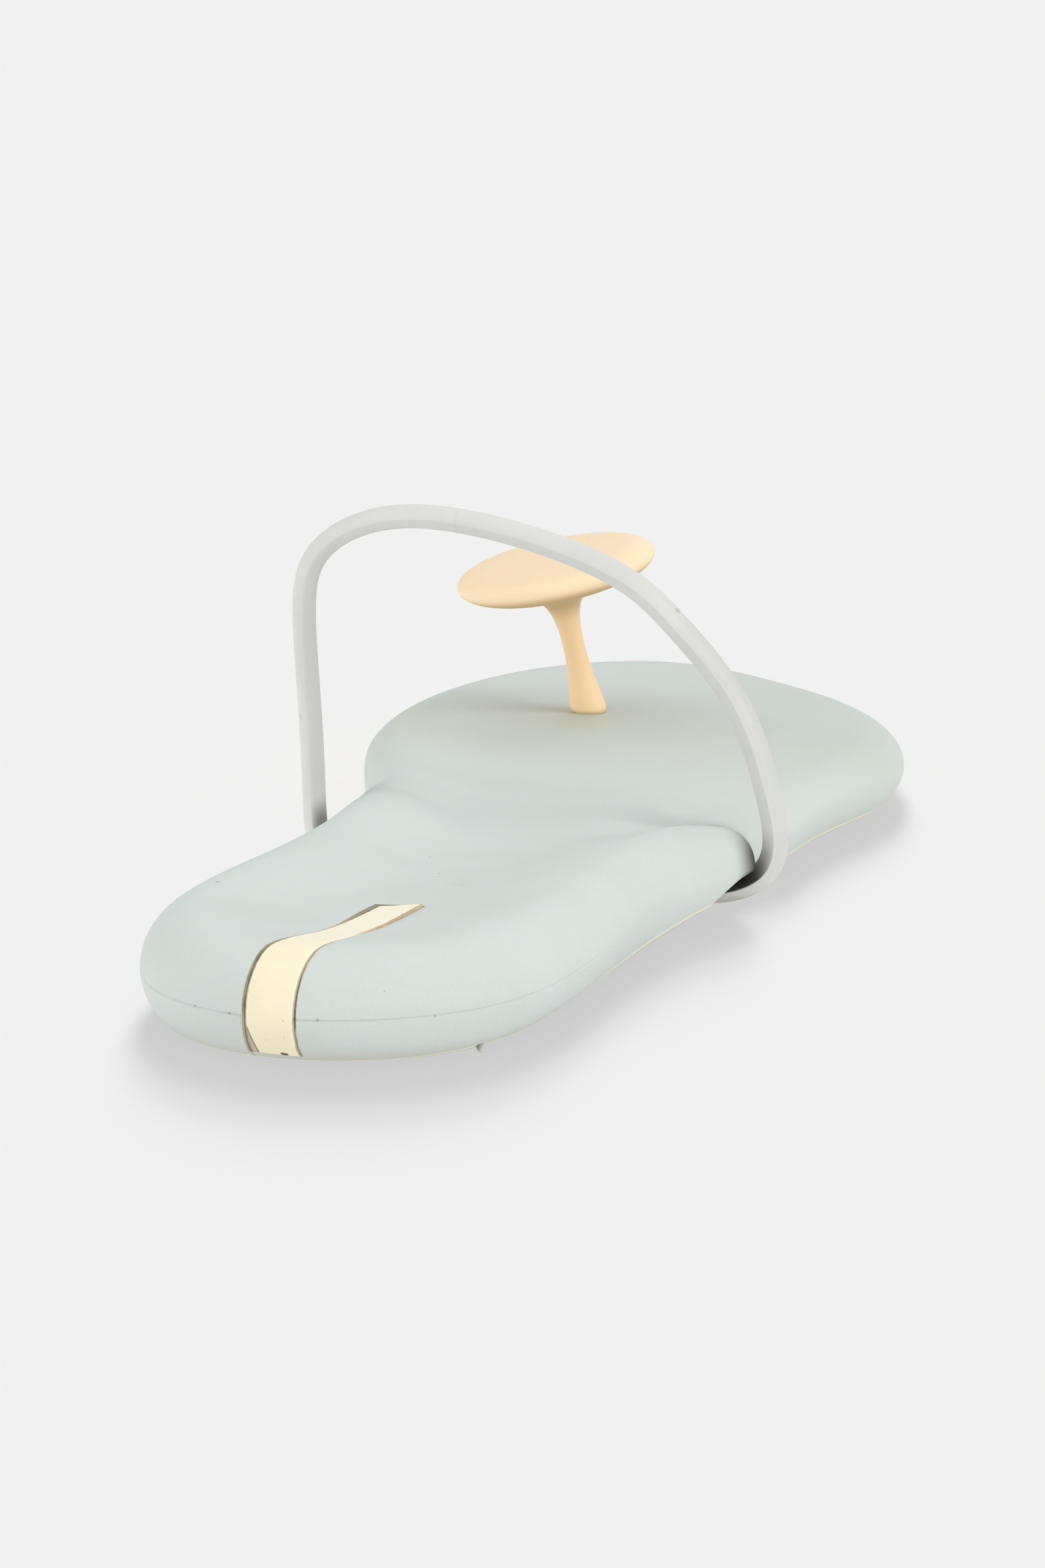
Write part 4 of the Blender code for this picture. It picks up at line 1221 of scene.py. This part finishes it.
def strap_finish():
    """Smooth off-white plastic: faint clouds, pale ridges, a mould seam, smudges, the legs' faces greyed as
    painted shade, and painted shade on the tucked faces and in the hook's slot.
    """
    paint = Paint("strap_plastic")
    outside = paint.chart("X")
    cloud = paint.noise(75, 4.0)
    colour = paint.blend(0.6 * paint.ramp(cloud, 0.40, 0.68), STRAP_WHITE, STRAP_SHADE)
    # Painted shade: the inner leg's inner face and the outer leg's outer face are greyed
    inner_leg = paint.ramp(outside, 0.0, -0.6) * paint.band(paint.across, "inner_leg")
    outer_leg = paint.ramp(outside, 0.0, 0.5) * paint.band(paint.across, "outer_leg")
    colour = paint.blend(0.32 * inner_leg + 0.25 * outer_leg, colour, STRAP_PAINTED_SHADE)
    ridge = paint.ramp(abs(outside), 0.16, 0.04)
    colour = paint.blend(0.35 * ridge, colour, STRAP_RIDGE)
    # Painted shade: the faces tucked under the rim and at the hook, and the hook's slot, turn nearly black
    hook = paint.band(paint.height, "hook_top") * paint.band(paint.across, "hook")
    rim = 0.6 * paint.band(paint.height, "inner_rim_top") * paint.band(paint.across, "inner_rim")
    tucked = (hook + rim) * paint.ramp(outside, 0.05, -0.85)
    colour = paint.blend(0.92 * tucked, colour, BLACK_DIRT_AND_SHADE)
    at_hook = paint.band(paint.across, "hook_slot")
    slot = at_hook * paint.band(paint.height, "hook_slot_top") * paint.ramp(outside, 0.04, -0.26)
    colour = paint.blend(0.96 * slot, colour, BLACK_DIRT_AND_SHADE)
    colour = paint.blend(0.45 * at_hook * paint.band(paint.height, "hook_underside"), colour, UMBER)
    seam = paint.band(abs(paint.across - STRAP_SEAM_ACROSS), "mould_seam")
    colour = paint.blend(0.05 * seam * paint.band(paint.height, "mould_seam_low"), colour, GRIME_AND_SHADE)
    for centre, radius, strength in STRAP_SMUDGES.values():
        colour = paint.blend(strength * paint.spot(centre, radius), colour, SMUDGE_BROWN)
    colour = paint.blend(0.22 * paint.specks(240, 0.05, 0.06), colour, SMUDGE_BROWN)
    grain = paint.noise(1500, 2.0)
    return paint.finish(
        Base_Color=colour,
        Roughness=0.40 + 0.16 * grain,
        Normal=paint.relief(grain, PLASTIC_GRAIN_DEPTH),
    )


def post_finish():
    """Peach plastic, paler on the cap, with a painted glow low on the stem, painted shade under the cap, and
    a ring at the foot painted darker for soil and for shade where it meets the footbed.
    """
    paint = Paint("post_plastic")
    cloud = paint.noise(95, 4.0)
    level = paint.chart("Y")
    pale = paint.ramp(level, 0.86, 0.94) * (0.65 + 0.35 * cloud)
    colour = paint.blend(pale, POST_PEACH, POST_PALE)
    # Painted light: the lower stem is paler, as if lit from the footbed
    colour = paint.blend(paint.ramp(level, 0.40, 0.08), colour, POST_PAINTED_GLOW)
    # Painted shade under the cap
    under_cap = paint.ramp(level, 0.58, 0.74) * paint.ramp(level, 0.925, 0.86)
    colour = paint.blend(0.80 * under_cap, colour, POST_UNDER_SHADE)
    colour = paint.blend(0.22 * paint.ramp(level, 0.975, 0.992), colour, POST_TOP)
    # The foot's ring is soil, and painted shade where the post meets the footbed
    ring = paint.ramp(level, 0.030, 0.0) * (0.6 + 0.4 * paint.noise(500))
    colour = paint.blend(0.45 * ring, colour, OCHRE)
    colour = paint.blend(0.25 * paint.specks(300, 0.05, 0.05), colour, SMUDGE_BROWN)
    grain = paint.noise(1400, 2.0)
    return paint.finish(
        Base_Color=colour,
        Roughness=0.42 + 0.16 * grain,
        Normal=paint.relief(grain, PLASTIC_GRAIN_DEPTH),
        Subsurface_Weight=0.15,
        Subsurface_Scale=0.004,
    )


def tape_finish():
    """Bare cream tape: bevelled edges painted paler as a highlight, ochre dirt and painted gap shade along
    them, yellowing and fine dark specks.
    """
    paint = Paint("tape_cream")
    across = abs(paint.chart("X"))
    cloud = paint.noise(150, 4.0)
    colour = paint.blend(0.40 * paint.ramp(cloud, 0.45, 0.72), TAPE_CREAM, TAPE_YELLOW)
    colour = paint.blend(0.55 * paint.band(paint.along, "tape_pale_top"), colour, TAPE_PALE)
    # Painted highlight: the bevelled edges are paler
    colour = paint.blend(0.45 * paint.ramp(across, 0.82, 0.90), colour, TAPE_PALE)
    aside, outside = tape_place(paint)
    left = paint.band(aside, "tape_left")
    nip = paint.band(paint.height, "tape_nip")
    past_nip = outside + NIP_REACH * nip
    started = left * paint.ramp(nip, 0.04, 0.20)
    colour = paint.blend(0.85 * started * paint.band(past_nip, "nip_edge"), colour, SMEAR_GREY)
    colour = paint.blend(0.75 * started * paint.band(abs(past_nip), "nip_line"), colour, UMBER)
    colour = tape_dirt_and_gap_shade(paint, colour)
    colour = paint.blend(0.65 * paint.specks(520, 0.13, 0.07), colour, GRIME_AND_SHADE)
    colour = paint.blend(0.30 * paint.specks(1100, 0.22, 0.10), colour, SMUDGE_BROWN)
    fibre = paint.noise(1900, 3.0)
    return paint.finish(
        Base_Color=colour,
        Roughness=0.42 + 0.20 * fibre,
        Normal=paint.relief(fibre, TAPE_FIBRE_DEPTH),
    )


def floor_finish():
    """Matte white."""
    paint = Paint("floor_matte")
    return paint.finish(Base_Color=FLOOR_WHITE, Roughness=1.0, Specular_IOR_Level=0.0)


def make_camera():
    """Camera that looks along +Y, turned about the vertical and tilted down."""
    camera = placed("camera", bpy.data.cameras.new("camera"))
    camera.data.sensor_width = SENSOR_MM
    camera.data.lens = FOCAL_PIXELS / FRAME_HEIGHT_PIXELS * SENSOR_MM
    camera.location = EYE
    camera.rotation_euler = (np.pi / 2 - CAMERA_TILT, 0.0, CAMERA_TURN)
    bpy.context.scene.camera = camera


FLOOR_SIZE = 60.0
# Tone of the backdrop above the horizon, which is that of the lit floor
BACKDROP_STRENGTH = 0.87
# Soft suns: strength in watts per square metre; turn of the beam from +Y, anticlockwise seen from above,
# height above the horizon and softness, in degrees; what is lit, and what throws shadows there
SUNS = {
    "right_light": (1.34, 80.0, 29.0, 45.0, "sandal", "sandal"),
    "overhead_light": (0.60, 0.0, 80.0, 60.0, "sandal", "sandal"),
    "left_light": (0.55, -85.0, 20.0, 60.0, "sandal", "sandal"),
    "left_back_light": (0.62, -40.0, 12.0, 50.0, "sandal", "sandal"),
    "front_light": (0.46, 180.0, 40.0, 50.0, "sandal", "sandal"),
    "dome_light": (1.31, 0.0, 90.0, 175.0, "sandal", "sandal"),
    "bounce_light": (0.50, 25.0, -30.0, 60.0, "sandal", "sandal"),
    "left_bounce_light": (0.32, -45.0, -30.0, 60.0, "sandal", "sandal"),
    "post_light": (0.22, 20.0, 15.0, 30.0, "raised_piece", None),
    "floor_fill_light": (2.06, 0.0, 89.0, 5.0, "ground", None),
    "floor_low_light": (0.88, -166.0, 19.0, 15.0, "ground", "low_pieces"),
    "floor_middle_light": (0.62, -166.0, 27.0, 15.0, "ground", "low_pieces"),
    "floor_high_light": (0.46, -166.0, 38.0, 18.0, "ground", "low_pieces"),
    "floor_dome_light": (0.16, 0.0, 90.0, 175.0, "ground", "low_pieces"),
}




def make_floor():
    """One square at height 0."""
    mesh = bpy.data.meshes.new("floor")
    half = FLOOR_SIZE / 2
    corners = [(-half, -half, 0), (half, -half, 0), (half, half, 0), (-half, half, 0)]
    mesh.from_pydata(corners, [], [(0, 1, 2, 3)])
    mesh.materials.append(floor_finish())
    floor = placed("floor", mesh)
    return floor


def gathered(name, members):
    """Collection of these objects, for the lights to name."""
    collection = bpy.data.collections.new(name)
    for member in members:
        collection.objects.link(member)
    return collection


def make_sun(name, groups):
    """Soft sun that lights only one group of objects, with shadows of one group alone, or with none."""
    strength, turn, rise, softness, lit, shading = SUNS[name]
    light = bpy.data.lights.new(name, "SUN")
    light.energy = strength
    light.angle = np.radians(softness)
    light.use_shadow = shading is not None
    sun = placed(name, light)
    sun.rotation_euler = (np.radians(90 - rise), 0.0, np.radians(turn))
    sun.light_linking.receiver_collection = groups[lit]
    sun.light_linking.blocker_collection = groups.get(shading)


def make_world():
    """Even pale backdrop that is seen and lights nothing: the suns are the only light."""
    world = bpy.data.worlds.new("studio")
    world.use_nodes = True
    background = world.node_tree.nodes["Background"]
    background.inputs["Color"].default_value = (1.0, 1.0, 1.0, 1.0)
    background.inputs["Strength"].default_value = BACKDROP_STRENGTH
    for rays in ("diffuse", "glossy", "transmission", "scatter"):
        setattr(world.cycles_visibility, rays, False)
    bpy.context.scene.world = world


def main():
    """Makes the pieces with their finishes, and the stage and the lights round them."""
    bpy.context.scene.view_settings.view_transform = "Standard"
    make_camera()
    make_world()
    foot = footbed_points(np.array([POST_FOOT]))[0] + UPWARDS * GAP
    sole = make_sole()
    carve(sole, [make_tape_channel(), make_socket(foot)])
    sole.data.set_sharp_from_angle(angle=SHARP_ANGLE)
    foam = sole_finish()
    strap, post, tape, tag = make_strap(), make_toe_post(foot), make_heel_tape(), make_flash_tag()
    stand_for(sole, "sole", foam)
    stand_for(strap, "strap", strap_finish())
    stand_for(post, "toe_post", post_finish())
    stand_for(tape, "heel_tape", tape_finish())
    tag.data.materials.append(foam)
    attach(tag, "root")
    for piece in (sole, strap, tape, tag):
        # The lit sides would brighten the floor's shadow right beside them
        piece.visible_diffuse = False
    members = {
        "sandal": [sole, strap, post, tape, tag],
        "low_pieces": [sole, tape, tag],
        "ground": [make_floor()],
        "raised_piece": [post],
    }
    groups = {name: gathered(name, objects) for name, objects in members.items()}
    for name in SUNS:
        make_sun(name, groups)


main()
